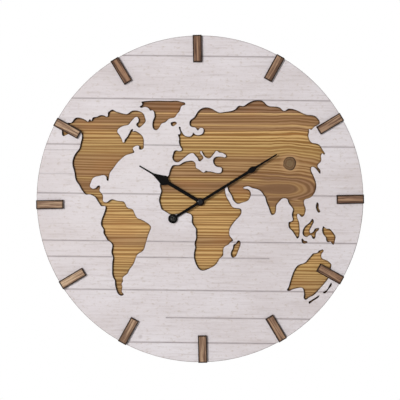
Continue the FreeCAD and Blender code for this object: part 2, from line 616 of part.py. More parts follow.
def new_sketch(body, name, role, x="0", z="0"):
    """A sketch on one of the body's own planes, moved along it by x and z."""
    sketch = body.newObject("Sketcher::SketchObject", name)
    plane = next(item for item in body.Origin.OriginFeatures if item.Role == role)
    sketch.AttachmentSupport = [(plane, "")]
    sketch.MapMode = "FlatFace"
    bind(sketch, AttachmentOffset__Base__x=x, AttachmentOffset__Base__y=z)
    return sketch


def draw_rectangle(sketch, width, height):
    """A rectangle centred on the sketch's origin."""
    half_width = value(width) / 2
    half_height = value(height) / 2
    corners = [
        Vector(-half_width, -half_height, 0),
        Vector(half_width, -half_height, 0),
        Vector(half_width, half_height, 0),
        Vector(-half_width, half_height, 0),
    ]
    for index, corner in enumerate(corners):
        sketch.addGeometry(Part.LineSegment(corner, corners[(index + 1) % 4]))
    for index in range(4):
        sketch.addConstraint(Sketcher.Constraint("Coincident", index, 2, (index + 1) % 4, 1))
    for index, direction in enumerate(("Horizontal", "Vertical", "Horizontal", "Vertical")):
        sketch.addConstraint(Sketcher.Constraint(direction, index))
    sketch.addConstraint(Sketcher.Constraint("Symmetric", 0, 1, 1, 2, -1, 1))
    across = sketch.addConstraint(Sketcher.Constraint("DistanceX", 0, 1, 0, 2, 2 * half_width))
    sketch.renameConstraint(across, "across")
    upright = sketch.addConstraint(Sketcher.Constraint("DistanceY", 1, 1, 1, 2, 2 * half_height))
    sketch.renameConstraint(upright, "upright")
    bind(sketch, Constraints__across=width, Constraints__upright=height)


def draw_circle(sketch, radius):
    """A circle round the sketch's origin."""
    circle = Part.Circle(Vector(0, 0, 0), Vector(0, 0, 1), value(radius))
    index = sketch.addGeometry(circle)
    sketch.addConstraint(Sketcher.Constraint("Coincident", index, 3, -1, 1))
    size = sketch.addConstraint(Sketcher.Constraint("Radius", index, value(radius)))
    sketch.renameConstraint(size, "size")
    bind(sketch, Constraints__size=radius)


def pad(body, sketch, length):
    """A pad from the body's plane towards the face."""
    item = body.newObject("PartDesign::Pad", f"{sketch.Name}Pad")
    item.Profile = sketch
    bind(item, Length=length)
    return item


def pocket(body, sketch, length):
    """A pocket from the body's plane towards the face, where the pads lie."""
    item = body.newObject("PartDesign::Pocket", f"{sketch.Name}Pocket")
    item.Profile = sketch
    item.Reversed = True
    bind(item, Length=length)
    return item


def edges_at(shape, y):
    """Names of the edges that lie in the plane at y."""
    names = []
    for index, edge in enumerate(shape.Edges, start=1):
        if abs(edge.BoundBox.YMin - y) < TOUCH and abs(edge.BoundBox.YMax - y) < TOUCH:
            names.append(f"Edge{index}")
    return names


# Face board

def coast_wire(shares):
    scale = value("dial_radius") * PER_HUNDRED_SHARE
    return smooth_loop([(x * scale, z * scale) for x, z in shares])


def map_hole(name, shares):
    hole = extrude(name, coast_wire(shares), "dial_thickness + 2 * overrun")
    place(hole, "0", f"{DIAL_FRONT} - overrun", DIAL_Z)
    return hole


def plank_groove(number, left, right, height):
    """A scored line, tilted clockwise about its point above the dial's centre."""
    name = f"PlankGroove{number}"
    reach = f"dial_radius * {PER_HUNDRED_SHARE}"
    groove = doc.addObject("Part::Box", name)
    bind(groove, Length=f"{reach} * {right - left}", Width="groove_depth + overrun", Height="groove_width")
    groove.Placement.Rotation = FreeCAD.Rotation(Vector(0, 1, 0), value("groove_tilt"))
    x = f"{reach} * {left} * cos(groove_tilt)"
    z = f"{DIAL_Z} + {reach} * {height} - {reach} * {left} * sin(groove_tilt) - groove_width / 2"
    place(groove, x, f"{DIAL_FRONT} - overrun", z)
    return groove


def make_face_board():
    disc = rod("DialDisc", "0", DIAL_FRONT, DIAL_Z, "dial_radius", "dial_thickness")
    doc.recompute()
    rim = doc.addObject("Part::Fillet", "DialRim")
    rim.Base = disc
    radius = value("dial_edge_round")
    front = edges_at(disc.Shape, value(DIAL_FRONT))
    rim.Edges = [(int(name[4:]), radius, radius) for name in front]
    holes = [map_hole(name, shares) for name, shares in COASTS.items()]
    grooves = [plank_groove(number, *line) for number, line in enumerate(PLANK_SHARES, start=1)]
    map_board = cut("DialWithMap", rim, [gather("MapHoles", holes)])
    label(cut("FaceBoard", map_board, [gather("PlankGrooves", grooves)]), "face_board")


# Pine panel, glued from boards edge to edge

def screw_heights():
    """Heights of the batten screws from the dial's centre."""
    middle = (SCREWS_PER_BATTEN - 1) / 2
    return [f"({number - middle}) * {SCREW_SPACING}" for number in range(SCREWS_PER_BATTEN)]


def panel_holes():
    """Blind holes for the tips of the screws in the battens and the rail, and the bush's hole."""
    tip = "(-screw_sink - screw_length - screw_clearance)"
    depth = f"-{tip} - batten_depth + overrun"
    radius = "screw_radius + screw_clearance"
    holes = [
        rod(f"PanelHole{side}{number}", x, tip, f"{DIAL_Z} + {height}", radius, depth)
        for side, x in (("Left", "-batten_offset"), ("Right", "batten_offset"))
        for number, height in enumerate(screw_heights(), start=1)
    ]
    holes.append(rod("PanelRailHoleLeft", "-rail_screw_offset", tip, "0", radius, depth))
    holes.append(rod("PanelRailHoleRight", "rail_screw_offset", tip, "0", radius, depth))
    holes.append(rod("BushHole", "0", f"{PANEL_FRONT} - overrun", HUB_Z,
                     "bush_radius + bush_hole_gap", "panel_thickness + 2 * overrun"))
    return gather("PanelHoles", holes)


def make_pine_boards():
    width = f"(2 * {PANEL_RADIUS} / {BOARD_COUNT})"
    holes = panel_holes()
    for number in range(1, BOARD_COUNT + 1):
        disc = rod(f"PanelDisc{number}", "0", PANEL_FRONT, DIAL_Z, PANEL_RADIUS, "panel_thickness")
        bottom = f"{DIAL_Z} - {PANEL_RADIUS} + {number - 1} * {width}"
        strip = box(f"PanelStrip{number}", f"-{PANEL_RADIUS}", PANEL_FRONT, bottom,
                    f"2 * {PANEL_RADIUS}", "panel_thickness", width)
        board = common(f"PanelBoard{number}", disc, strip)
        label(cut(f"PineBoard{number}", board, [holes]), f"pine_board_{number}")


# Hour bars, which point at the hub while their outer ends follow the rim

def hour_bar_place(hour):
    """Placement of one bar on the face, its middle at a set distance from the dial's centre."""
    turn = 360 * hour / HOUR_COUNT - value("ring_turn")
    across = math.sin(math.radians(turn))
    up = math.cos(math.radians(turn))
    ring = value("dial_radius + bar_overhang - bar_length / 2")
    drop = value("hub_drop")
    reach = drop * up + math.sqrt(ring ** 2 - (drop * across) ** 2)
    spot = Vector(reach * across, value(DIAL_FRONT), value(HUB_Z) + reach * up)
    return FreeCAD.Placement(spot, FreeCAD.Rotation(Vector(0, 1, 0), turn))


def make_hour_bar(hour):
    body = doc.addObject("PartDesign::Body", f"HourBar{hour}")
    sketch = new_sketch(body, f"BarOutline{hour}", "XZ_Plane")
    draw_rectangle(sketch, "bar_width", "bar_length")
    block = pad(body, sketch, "bar_thickness")
    doc.recompute()
    front = edges_at(block.Shape, -value("bar_thickness"))
    chamfer = body.newObject("PartDesign::Chamfer", f"BarEdge{hour}")
    chamfer.Base = (block, front)
    bind(chamfer, Size="bar_chamfer")
    body.Placement = hour_bar_place(hour)
    label(body, f"hour_bar_{hour:02d}")


# Battens, rail, keyhole plate and their screws

def screw_seat(name, x, z):
    """What a wood screw needs cleared from the wood it is sunk in: a bore and a wide mouth."""
    shank = rod(f"{name}Bore", x, "-batten_depth - overrun", z, "screw_radius + screw_clearance",
                "batten_depth + 2 * overrun")
    mouth = rod(f"{name}Mouth", x, "-screw_sink - screw_head_height - screw_clearance", z,
                "screw_head_radius + screw_clearance",
                "screw_sink + screw_head_height + screw_clearance + overrun")
    return [shank, mouth]


def make_batten(side, sign):
    body = new_body(f"Batten{side}", "0")
    sketch = new_sketch(body, f"Batten{side}Outline", "XZ_Plane", f"{sign} * batten_offset", DIAL_Z)
    draw_rectangle(sketch, "batten_width", "batten_length")
    pad(body, sketch, "batten_depth")
    x = f"{sign} * batten_offset"
    lowest = f"{DIAL_Z} + {screw_heights()[0]}"
    for name, radius, depth in (
        ("Bore", "screw_radius + screw_clearance", "batten_depth + overrun"),
        ("Mouth", "screw_head_radius + screw_clearance",
         "screw_sink + screw_head_height + screw_clearance"),
    ):
        hole = new_sketch(body, f"Batten{side}{name}", "XZ_Plane", x, lowest)
        draw_circle(hole, radius)
        drilled = pocket(body, hole, depth)
        doc.recompute()
        row = body.newObject("PartDesign::LinearPattern", f"Batten{side}{name}Row")
        row.Originals = [drilled]
        row.Direction = (hole, ["V_Axis"])
        row.Occurrences = SCREWS_PER_BATTEN
        bind(row, Length="batten_length - 2 * batten_end")
        body.Tip = row
        doc.recompute()
    label(body, f"batten_{side.lower()}")


def keyhole_tools(name, grow, depth, front):
    """The keyhole's round hole and slot, each grown by a margin, from front for depth."""
    hole = rod(f"{name}Hole", "0", front, "0", f"keyhole_radius + {grow}", depth)
    top = rod(f"{name}Top", "0", front, "keyhole_slot_rise", f"keyhole_slot_radius + {grow}", depth)
    slot = box(f"{name}Slot", f"-keyhole_slot_radius - {grow}", front, "0",
               f"2 * (keyhole_slot_radius + {grow})", depth, "keyhole_slot_rise")
    return [hole, top, slot]


def make_hanger_rail():
    """The cross rail between the battens, with a bed for the plate and room for the screw's head."""
    length = "(2 * batten_offset - batten_width)"
    block = box("RailBlock", f"-{length} / 2", "-batten_depth", "-rail_height / 2",
                length, "batten_depth", "rail_height")
    bed = box("RailBed", "-plate_width / 2", "-plate_thickness", "-plate_height / 2",
              "plate_width", "plate_thickness + overrun", "plate_height")
    pocket_front = "-plate_thickness - keyhole_pocket_depth"
    tools = keyhole_tools("RailPocket", "keyhole_pocket_margin", "keyhole_pocket_depth + overrun",
                          pocket_front)
    for side, sign in (("Left", "-"), ("Right", "")):
        tools += screw_seat(f"Rail{side}", f"{sign}rail_screw_offset", "0")
        tools.append(rod(f"RailPlateBore{side}", f"{sign}plate_screw_offset",
                         "-plate_screw_length - screw_clearance", "0",
                         "plate_screw_radius + screw_clearance", "plate_screw_length"))
    label(cut("HangerRail", block, [bed] + tools), "hanger_rail")


def make_hanger_plate():
    plate = box("PlateBlank", "-plate_width / 2", "-plate_thickness", "-plate_height / 2",
                "plate_width", "plate_thickness", "plate_height")
    tools = keyhole_tools("Keyhole", "0", "plate_thickness + 2 * overrun",
                          "-plate_thickness - overrun")
    for side, sign in (("Left", "-"), ("Right", "")):
        x = f"{sign}plate_screw_offset"
        tools.append(rod(f"PlateBore{side}", x, "-plate_thickness - overrun", "0",
                         "plate_screw_radius + screw_clearance", "plate_thickness + 2 * overrun"))
        tools.append(cone(f"PlateSink{side}", x, "-plate_screw_head_height", "0",
                          "plate_screw_radius + screw_clearance",
                          "plate_screw_head_radius + screw_clearance", "plate_screw_head_height"))
    label(cut("HangerPlate", plate, tools), "hanger_plate")


def wood_screw(name, x, z, sink, kind="screw"):
    """A slotted wood screw pointing into the wood, its head sunk below y = 0."""
    radius = f"{kind}_radius"
    head_radius = f"{kind}_head_radius"
    head_height = f"{kind}_head_height"
    length = f"{kind}_length"
    head = cone(f"{name}Head", x, f"-{sink} - {head_height}", z, radius, head_radius, head_height)
    shank = rod(f"{name}Shank", x, f"-{sink} - {length} + screw_tip", z, radius,
                f"{length} - screw_tip - {head_height} / 2")
    tip = cone(f"{name}Tip", x, f"-{sink} - {length}", z, f"{radius} / 8", radius, "screw_tip")
    slot = box(f"{name}Slot", f"{x} - {head_radius} - overrun", f"-{sink} - {head_height} / 2",
               f"{z} - screw_slot / 2", f"2 * ({head_radius} + overrun)",
               f"{head_height} / 2 + overrun", "screw_slot")
    return cut(name, fuse(f"{name}Blank", [head, shank, tip]), [slot])


def make_screws():
    batten_screws = []
    for side, x in (("Left", "-batten_offset"), ("Right", "batten_offset")):
        for number, height in enumerate(screw_heights(), start=1):
            z = f"{DIAL_Z} + {height}"
            batten_screws.append(wood_screw(f"BattenScrew{side}{number}", x, z, "screw_sink"))
    label(gather("BattenScrews", batten_screws), "batten_screws")
    rail_screws = [
        wood_screw("RailScrewLeft", "-rail_screw_offset", "0", "screw_sink"),
        wood_screw("RailScrewRight", "rail_screw_offset", "0", "screw_sink"),
    ]
    label(gather("RailScrews", rail_screws), "rail_screws")
    hanger_screws = [
        wood_screw("HangerScrewLeft", "-plate_screw_offset", "0", "0", "plate_screw"),
        wood_screw("HangerScrewRight", "plate_screw_offset", "0", "0", "plate_screw"),
    ]
    label(gather("HangerScrews", hanger_screws), "hanger_screws")


# Movement case

def case_block(name, bottom, level, depth):
    """The case's outline with its upright edges rounded, from bottom up and from level back."""
    block = case_box(f"{name}Box", f"-{CASE_HALF}", level, bottom,
                     "case_side", depth, f"{CASE_HALF} - ({bottom})")
    doc.recompute()
    corners = []
    for index, edge in enumerate(block.Shape.Edges, start=1):
        along = edge.BoundBox.YLength > TOUCH
        rounded = bottom == f"-{CASE_HALF}" or edge.BoundBox.ZMin > value(HUB_Z)
        if along and rounded:
            corners.append((index, value("case_corner"), value("case_corner")))
    item = doc.addObject("Part::Fillet", name)
    item.Base = block
    item.Edges = corners
    return item


def case_post(name, x, z, top):
    return case_rod(name, (x, z), f"{CASE_FLOOR} - overlap", "post_radius",
                    f"{top} - {CASE_FLOOR} + overlap")


def pivot_hole(name, arbor, level, depth):
    return case_rod(name, arbor, level, "pivot_radius + shaft_fit", depth)


def make_front_case():
    block = case_block("FrontCaseBlock", f"-{CASE_HALF}", "0", "case_depth")
    inner_width = f"2 * {INNER_HALF}"
    tools = [
        case_box("CoverRoom", f"-{CASE_HALF} - overrun", COVER_LEVEL, BAY_CEILING,
                 "case_side + 2 * overrun", "cover_thickness + overrun", "case_side"),
        case_box("GearRoom", f"-{INNER_HALF}", CASE_FLOOR, "-bay_top",
                 inner_width, "case_depth", f"{INNER_HALF} + bay_top"),
        case_box("CellRoom", f"-{INNER_HALF}", CASE_FLOOR, f"-{INNER_HALF}",
                 inner_width, "case_depth", f"{INNER_HALF} + {BAY_CEILING}"),
        case_box("ContactSlotLeft", f"-{INNER_HALF}", CASE_FLOOR, f"{BAY_CEILING} - overrun",
                 "bay_wall_gap", "case_depth", "bay_wall + 2 * overrun"),
        case_box("ContactSlotRight", f"{INNER_HALF} - bay_wall_gap", CASE_FLOOR,
                 f"{BAY_CEILING} - overrun", "bay_wall_gap", "case_depth", "bay_wall + 2 * overrun"),
        case_rod("CaseBushHole", "centre", "-overrun", "bush_radius + shaft_fit",
                 "case_front + 2 * overrun"),
        case_rod("CaseFlangeBed", "centre", "case_front - bush_flange_thickness",
                 "bush_flange_radius + shaft_fit", "bush_flange_thickness + overrun"),
        pivot_hole("ThirdFrontBearing", "third", "case_front - bearing_depth",
                   "bearing_depth + overrun"),
        pivot_hole("MotionFrontBearing", "motion", "case_front - bearing_depth",
                   "bearing_depth + overrun"),
    ]
    shell = cut("CaseShell", block, tools)
    posts = [
        case_post("BridgePostA", "-bridge_left + post_inset", "bridge_top - post_inset", "bridge_level"),
        case_post("BridgePostB", "bridge_right - post_inset", "bridge_top - post_inset", "bridge_level"),
        case_post("BridgePostC", "bridge_right - post_inset", "-bridge_bottom + post_inset",
                  "bridge_level"),
        case_post("BoardPostA", f"-{INNER_HALF} + board_gap + post_inset",
                  f"{INNER_HALF} - board_gap - post_inset", "stator_level"),
        case_post("BoardPostB", f"-{INNER_HALF} + board_gap + post_inset",
                  "board_bottom + post_inset", "stator_level"),
        case_post("BoardPostC", f"{INNER_HALF} - board_gap - post_inset",
                  f"{INNER_HALF} - board_gap - post_inset", "stator_level"),
        case_post("CorePostA", "stator_left + stator_leg / 2", "coil_height", CORE_LEVEL),
        case_post("CorePostB", "stator_right - stator_leg / 2", "coil_height", CORE_LEVEL),
        case_post("StatorPost", "stator_right - stator_leg / 2", f"{STATOR_FOOT} + stator_leg / 2",
                  "stator_level"),
    ]
    label(fuse("FrontCase", [shell] + posts), "movement_front_case")


def make_back_cover():
    block = case_block("CoverBlock", BAY_CEILING, COVER_LEVEL, "cover_thickness")
    tools = [
        pivot_hole(f"{arbor.title()}BackBearing", arbor, f"{COVER_LEVEL} - overrun",
                   "bearing_depth + overrun")
        for arbor in ("centre", "third", "intermediate", "rotor")
    ]
    tools.append(case_rod("KnobHole", "motion", f"{COVER_LEVEL} - overrun",
                          "motion_arbor_radius + shaft_fit", "cover_thickness + 2 * overrun"))
    label(cut("BackCover", block, tools), "movement_back_cover")


# Bush, and the ring, washer and nut that clamp the movement to the panel

def make_bush():
    front = f"{CASE_FRONT} - bush_length"
    barrel = rod("BushBarrel", "0", front, HUB_Z, "bush_radius", "bush_length + case_front")
    flange = case_rod("BushFlange", "centre", "case_front - bush_flange_thickness",
                      "bush_flange_radius", "bush_flange_thickness")
    bore = rod("BushBore", "0", f"{front} - overrun", HUB_Z, "hour_tube_radius + shaft_fit",
               "bush_length + case_front + 2 * overrun")
    label(cut("CentreBush", fuse("BushBlank", [barrel, flange]), [bore]), "centre_bush")
    opening = "bush_radius + screw_clearance"
    label(tube("BushGasket", "0", "-batten_depth", HUB_Z, "gasket_radius", opening,
               "gasket_thickness"), "bush_gasket")
    label(tube("BushWasher", "0", f"{PANEL_FRONT} - washer_thickness", HUB_Z, "washer_radius",
               opening, "washer_thickness"), "bush_washer")
    nut_front = f"{PANEL_FRONT} - washer_thickness - nut_thickness"
    hexagon = doc.addObject("Part::Prism", "NutHexagon")
    hexagon.Polygon = 6
    hexagon.Placement.Rotation = FreeCAD.Rotation(Vector(1, 0, 0), -90)
    bind(hexagon, Circumradius="nut_flats / 2 / cos(30)", Height="nut_thickness")
    place(hexagon, "0", nut_front, HUB_Z)
    hole = rod("NutHole", "0", f"{nut_front} - overrun", HUB_Z, opening,
               "nut_thickness + 2 * overrun")
    label(cut("BushNut", hexagon, [hole]), "bush_nut")


# Fixed pieces inside the case

def make_bridge():
    plate = case_box("BridgePlate", "-bridge_left", "bridge_level", "-bridge_bottom",
                     "bridge_left + bridge_right", "bridge_thickness", "bridge_bottom + bridge_top")
    level = "bridge_level - overrun"
    depth = "bridge_thickness + 2 * overrun"
    third_tip = f"({tip_radius(THIRD_PINION, THIRD_PINION_RADIUS)} + bridge_pass_gap)"
    tools = [
        case_rod("BridgeCentreHole", "centre", level, "minute_arbor_bore", depth),
        case_rod("BridgeThirdHole", "third", level, third_tip, depth),
        pivot_hole("IntermediateFrontBearing", "intermediate", level, depth),
        pivot_hole("RotorFrontBearing", "rotor", level, depth),
    ]
    label(cut("GearBridge", plate, tools), "gear_bridge")


def make_circuit_board():
    left = f"-{INNER_HALF} + board_gap"
    top = f"({INNER_HALF} - board_gap)"
    wide = case_box("BoardWide", left, "stator_level", "board_bottom",
                    f"{INNER_HALF} - board_gap - board_step", "board_thickness",
                    f"{top} - board_bottom")
    strip = case_box("BoardStrip", left, "stator_level", "board_strip_bottom",
                     f"2 * ({INNER_HALF} - board_gap)", "board_thickness",
                     f"{top} - board_strip_bottom")
    label(fuse("CircuitBoard", [wide, strip]), "circuit_board")
    level = "stator_level + board_thickness"
    chip = case_rod("ClockChip", ("-chip_left", "chip_up"), level, "chip_radius", "chip_height")
    label(chip, "clock_chip")
    crystal = cross_rod("QuartzCrystal", "-crystal_left", f"{CASE_FRONT} + {level} + crystal_radius",
                        f"{HUB_Z} + crystal_up", "crystal_radius", "crystal_length")
    label(crystal, "quartz_crystal")


def make_motor_irons():
    """The stator with its two legs, and the coil's core that joins their ends."""
    rotor_z = ARBORS["rotor"][1]
    shoulder = f"({rotor_z} + {STATOR_HOLE} + stator_margin)"
    foot = case_box("StatorFoot", "stator_left", "stator_level", STATOR_FOOT,
                    "stator_right - stator_left", "stator_thickness", f"{shoulder} - {STATOR_FOOT}")
    leg_height = f"coil_height + coil_core_width / 2 - {STATOR_FOOT}"
    left = case_box("StatorLegLeft", "stator_left", "stator_level", STATOR_FOOT, "stator_leg",
                    "stator_thickness", leg_height)
    right = case_box("StatorLegRight", "stator_right - stator_leg", "stator_level", STATOR_FOOT,
                     "stator_leg", "stator_thickness", leg_height)
    hole = case_rod("StatorHole", "rotor", "stator_level - overrun", STATOR_HOLE,
                    "stator_thickness + 2 * overrun")
    label(cut("MotorStator", fuse("StatorIron", [foot, left, right]), [hole]), "motor_stator")
    core = case_box("CoilCore", "stator_left", CORE_LEVEL, "coil_height - coil_core_width / 2",
                    "stator_right - stator_left", "stator_thickness", "coil_core_width")
    label(core, "coil_core")


def make_coil():
    start = "((stator_left + stator_right - coil_length) / 2)"
    level = f"{CASE_FRONT} + {CORE_LEVEL} + stator_thickness / 2"
    height = f"{HUB_Z} + coil_height"
    barrel = cross_rod("BobbinBarrel", start, level, height, "bobbin_radius", "coil_length")
    flanges = [
        cross_rod("BobbinFlangeLeft", start, level, height, "coil_radius", "bobbin_flange"),
        cross_rod("BobbinFlangeRight", f"{start} + coil_length - bobbin_flange", level, height,
                  "coil_radius", "bobbin_flange"),
    ]
    slot = case_box("BobbinSlot", f"{start} - overrun", f"{CORE_LEVEL} - shaft_fit",
                    "coil_height - coil_core_width / 2 - shaft_fit", "coil_length + 2 * overrun",
                    "stator_thickness + 2 * shaft_fit", "coil_core_width + 2 * shaft_fit")
    label(cut("CoilBobbin", fuse("BobbinBlank", [barrel] + flanges), [slot]), "coil_bobbin")
    wound_start = f"{start} + bobbin_flange + shaft_fit"
    wound_length = "coil_length - 2 * (bobbin_flange + shaft_fit)"
    outside = cross_rod("WindingOutside", wound_start, level, height, "coil_radius - shaft_fit",
                        wound_length)
    inside = cross_rod("WindingInside", f"{wound_start} - overrun", level, height,
                       "bobbin_radius + shaft_fit", f"{wound_length} + 2 * overrun")
    label(cut("CoilWinding", outside, [inside]), "coil_winding")


def make_cell():
    level = f"{CASE_FRONT} + {CELL_LEVEL}"
    height = f"{HUB_Z} + {CELL_HEIGHT}"
    right = f"({INNER_HALF} - contact_thickness)"
    can = cross_rod("CellCan", f"{right} - cell_length", level, height, "cell_radius",
                    "cell_length - cell_nub_length")
    nub = cross_rod("CellNub", f"{right} - cell_nub_length", level, height, "cell_nub_radius",
                    "cell_nub_length")
    label(fuse("BatteryCell", [can, nub]), "battery_cell")


def contact_strip(side, x):
    """The contact's plate in the bay with a tab that runs up to the circuit board."""
    bottom = f"{CELL_HEIGHT} - contact_width / 2"
    level = f"({CELL_LEVEL} - contact_width / 2)"
    plate = case_box(f"{side}ContactPlate", x, level, bottom, "contact_thickness", "contact_width",
                     "contact_width")
    tab = case_box(f"{side}ContactTab", x, "stator_level", bottom, "contact_thickness",
                   "contact_tab_width", f"{INNER_HALF} - board_gap - ({bottom})")
    return [plate, tab]


def make_contacts():
    positive = contact_strip("Positive", f"{INNER_HALF} - contact_thickness")
    label(fuse("PositiveContact", positive), "positive_contact")
    negative = contact_strip("Negative", f"-{INNER_HALF}")
    spring = doc.addObject("Part::Cone", "NegativeSpring")
    spring.Placement.Rotation = FreeCAD.Rotation(Vector(0, 1, 0), 90)
    bind(spring, Radius1="contact_spring_radius", Radius2="contact_spring_radius / 2",
         Height=f"2 * ({INNER_HALF} - contact_thickness) - cell_length")
    place(spring, f"-{INNER_HALF} + contact_thickness", f"{CASE_FRONT} + {CELL_LEVEL}",
          f"{HUB_Z} + {CELL_HEIGHT}")
    label(fuse("NegativeContact", negative + [spring]), "negative_contact")


# Toothed wheels

def tip_radius(teeth, pitch_radius):
    """Formula for a wheel's outer radius."""
    height = TOOTH_SHARES[2][0]
    return f"({pitch_radius} * {1 + 2 * height / teeth})"


def mesh_phase(direction, driver_teeth, driver_phase, teeth):
    """Angle of one tooth of a wheel that meshes with a driver, which lies behind direction."""
    passed = (direction - driver_phase) * driver_teeth / 360 % 1
    return direction + 180 - 360 / teeth * (1 / 2 - passed)


def toothed(name, arbor, teeth, pitch_radius, level, thickness, phase=0):
    radius = value(pitch_radius)
    module = 2 * radius / teeth
    points = []
    for tooth in range(teeth):
        for height_share, pitch_share in TOOTH_SHARES:
            reach = radius + height_share * module
            angle = math.radians(phase + (tooth + pitch_share) * 360 / teeth)
            points.append(Vector(reach * math.cos(angle), 0, reach * math.sin(angle)))
    disc = extrude(name, Part.makePolygon(points + points[:1]), thickness)
    x, z = ARBORS[arbor]
    place(disc, x, f"{CASE_FRONT} + {level}", f"{HUB_Z} + {z}")
    return disc


def pinion(name, arbor, teeth, pitch_radius, mate_level):
    """A pinion that is a little longer than the wheel it meshes with, on both sides."""
    return toothed(name, arbor, teeth, pitch_radius, f"{mate_level} - pinion_lap",
                   "wheel_thickness + 2 * pinion_lap")


def arbor_rod(name, arbor, start, end, radius="pivot_radius"):
    return case_rod(name, arbor, start, radius, f"{end} - ({start})")


def make_rotor():
    teeth = pinion("RotorTeeth", "rotor", ROTOR_PINION, ROTOR_PINION_RADIUS,
                   "intermediate_wheel_level")
    spindle = arbor_rod("RotorSpindle", "rotor", BRIDGE_BEARING, COVER_BEARING)
    label(fuse("RotorPinion", [teeth, spindle]), "rotor_pinion")
    x, z = ARBORS["rotor"]
    magnet = tube("RotorMagnet", x, f"{CASE_FRONT} + rotor_magnet_level", f"{HUB_Z} + {z}",
                  "rotor_magnet_radius", "pivot_radius + shaft_fit", "rotor_magnet_length")
    label(magnet, "rotor_magnet")


def make_intermediate_wheel():
    phase = mesh_phase(value("rotor_angle") + 180, ROTOR_PINION, 0, INTERMEDIATE_WHEEL)
    wheel = toothed("IntermediateTeeth", "intermediate", INTERMEDIATE_WHEEL,
                    INTERMEDIATE_WHEEL_RADIUS, "intermediate_wheel_level", "wheel_thickness", phase)
    small = pinion("IntermediatePinion", "intermediate", INTERMEDIATE_PINION,
                   INTERMEDIATE_PINION_RADIUS, "second_wheel_level")
    spindle = arbor_rod("IntermediateSpindle", "intermediate", BRIDGE_BEARING, COVER_BEARING)
    label(fuse("IntermediateWheel", [wheel, small, spindle]), "intermediate_wheel")


def make_second_wheel():
    """The wheel that turns once a minute, its long arbor running inside the minute arbor."""
    phase = mesh_phase(value("intermediate_angle") + 180, INTERMEDIATE_PINION, 0, SECOND_WHEEL)
    wheel = toothed("SecondTeeth", "centre", SECOND_WHEEL, SECOND_WHEEL_RADIUS,
                    "second_wheel_level", "wheel_thickness", phase)
    small = pinion("SecondPinion", "centre", SECOND_PINION, SECOND_PINION_RADIUS,
                   "third_wheel_level")
    front = arbor_rod("SecondArbor", "centre", "-second_arbor_reach", "third_wheel_level",
                      "minute_arbor_bore - shaft_fit")
    back = arbor_rod("SecondPivot", "centre", "third_wheel_level", COVER_BEARING)
    label(fuse("SecondWheel", [wheel, small, front, back]), "second_wheel")


def make_third_wheel():
    phase = mesh_phase(value("third_angle"), SECOND_PINION, 0, THIRD_WHEEL)
    wheel = toothed("ThirdTeeth", "third", THIRD_WHEEL, THIRD_WHEEL_RADIUS, "third_wheel_level",
                    "wheel_thickness", phase)
    small = pinion("ThirdPinion", "third", THIRD_PINION, THIRD_PINION_RADIUS, "centre_wheel_level")
    spindle = arbor_rod("ThirdSpindle", "third", CASE_BEARING, COVER_BEARING)
    label(fuse("ThirdWheel", [wheel, small, spindle]), "third_wheel")


def make_centre_wheel():
    """The wheel that turns once an hour and grips the minute arbor by friction."""
    phase = mesh_phase(value("third_angle") + 180, THIRD_PINION, 0, CENTRE_WHEEL)
    wheel = toothed("CentreTeeth", "centre", CENTRE_WHEEL, CENTRE_WHEEL_RADIUS,
                    "centre_wheel_level", "wheel_thickness", phase)
    hub = case_rod("CentreHub", "centre", "centre_wheel_level", "minute_arbor_radius + collet_wall",
                   "wheel_thickness + clutch_collar")
    bore = case_rod("CentreBore", "centre", "centre_wheel_level - overrun",
                    "minute_arbor_radius + shaft_fit", "wheel_thickness + 3 * overrun")
    label(cut("CentreWheel", fuse("CentreBlank", [wheel, hub]), [bore]), "centre_wheel")


def make_minute_arbor():
    """The tube that carries the minute hand, with the cannon pinion cut on it."""
    teeth = toothed("CannonTeeth", "centre", CANNON_PINION, CANNON_PINION_RADIUS, "cannon_level",
                    "wheel_thickness + 2 * pinion_lap")
    rear = "(centre_wheel_level + wheel_thickness + clutch_collar + pinion_lap)"
    barrel = arbor_rod("MinuteBarrel", "centre", "-minute_arbor_reach", rear, "minute_arbor_radius")
    bore = arbor_rod("MinuteBore", "centre", "-minute_arbor_reach - overrun", f"{rear} + overrun",
                     "minute_arbor_bore")
    label(cut("MinuteArbor", fuse("MinuteBlank", [teeth, barrel]), [bore]), "minute_arbor")


def make_motion_wheel():
    phase = mesh_phase(value("motion_angle"), CANNON_PINION, 0, MOTION_WHEEL)
    level = "(cannon_level + pinion_lap)"
    wheel = toothed("MotionTeeth", "motion", MOTION_WHEEL, MOTION_WHEEL_RADIUS, level,
                    "wheel_thickness", phase)
    start = "(hour_wheel_level - pinion_lap)"
    small = toothed("MotionPinion", "motion", MOTION_PINION, MOTION_PINION_RADIUS, start,
                    f"{level} - {start}")
    pivot = arbor_rod("MotionPivot", "motion", CASE_BEARING, level)
    spindle = arbor_rod("MotionSpindle", "motion", level,
                        "(case_depth + knob_gap + knob_height - arbor_play)", "motion_arbor_radius")
    label(fuse("MotionWheel", [wheel, small, pivot, spindle]), "motion_wheel")


def make_hour_wheel():
    phase = mesh_phase(value("motion_angle") + 180, MOTION_PINION, 0, HOUR_WHEEL)
    wheel = toothed("HourTeeth", "centre", HOUR_WHEEL, HOUR_WHEEL_RADIUS, "hour_wheel_level",
                    "wheel_thickness", phase)
    rear = "(hour_wheel_level + wheel_thickness)"
    barrel = arbor_rod("HourBarrel", "centre", "-hour_tube_reach", rear, "hour_tube_radius")
    bore = arbor_rod("HourBore", "centre", "-hour_tube_reach - overrun", f"{rear} + overrun",
                     "minute_arbor_radius + shaft_fit")
    label(cut("HourWheel", fuse("HourBlank", [wheel, barrel]), [bore]), "hour_wheel")


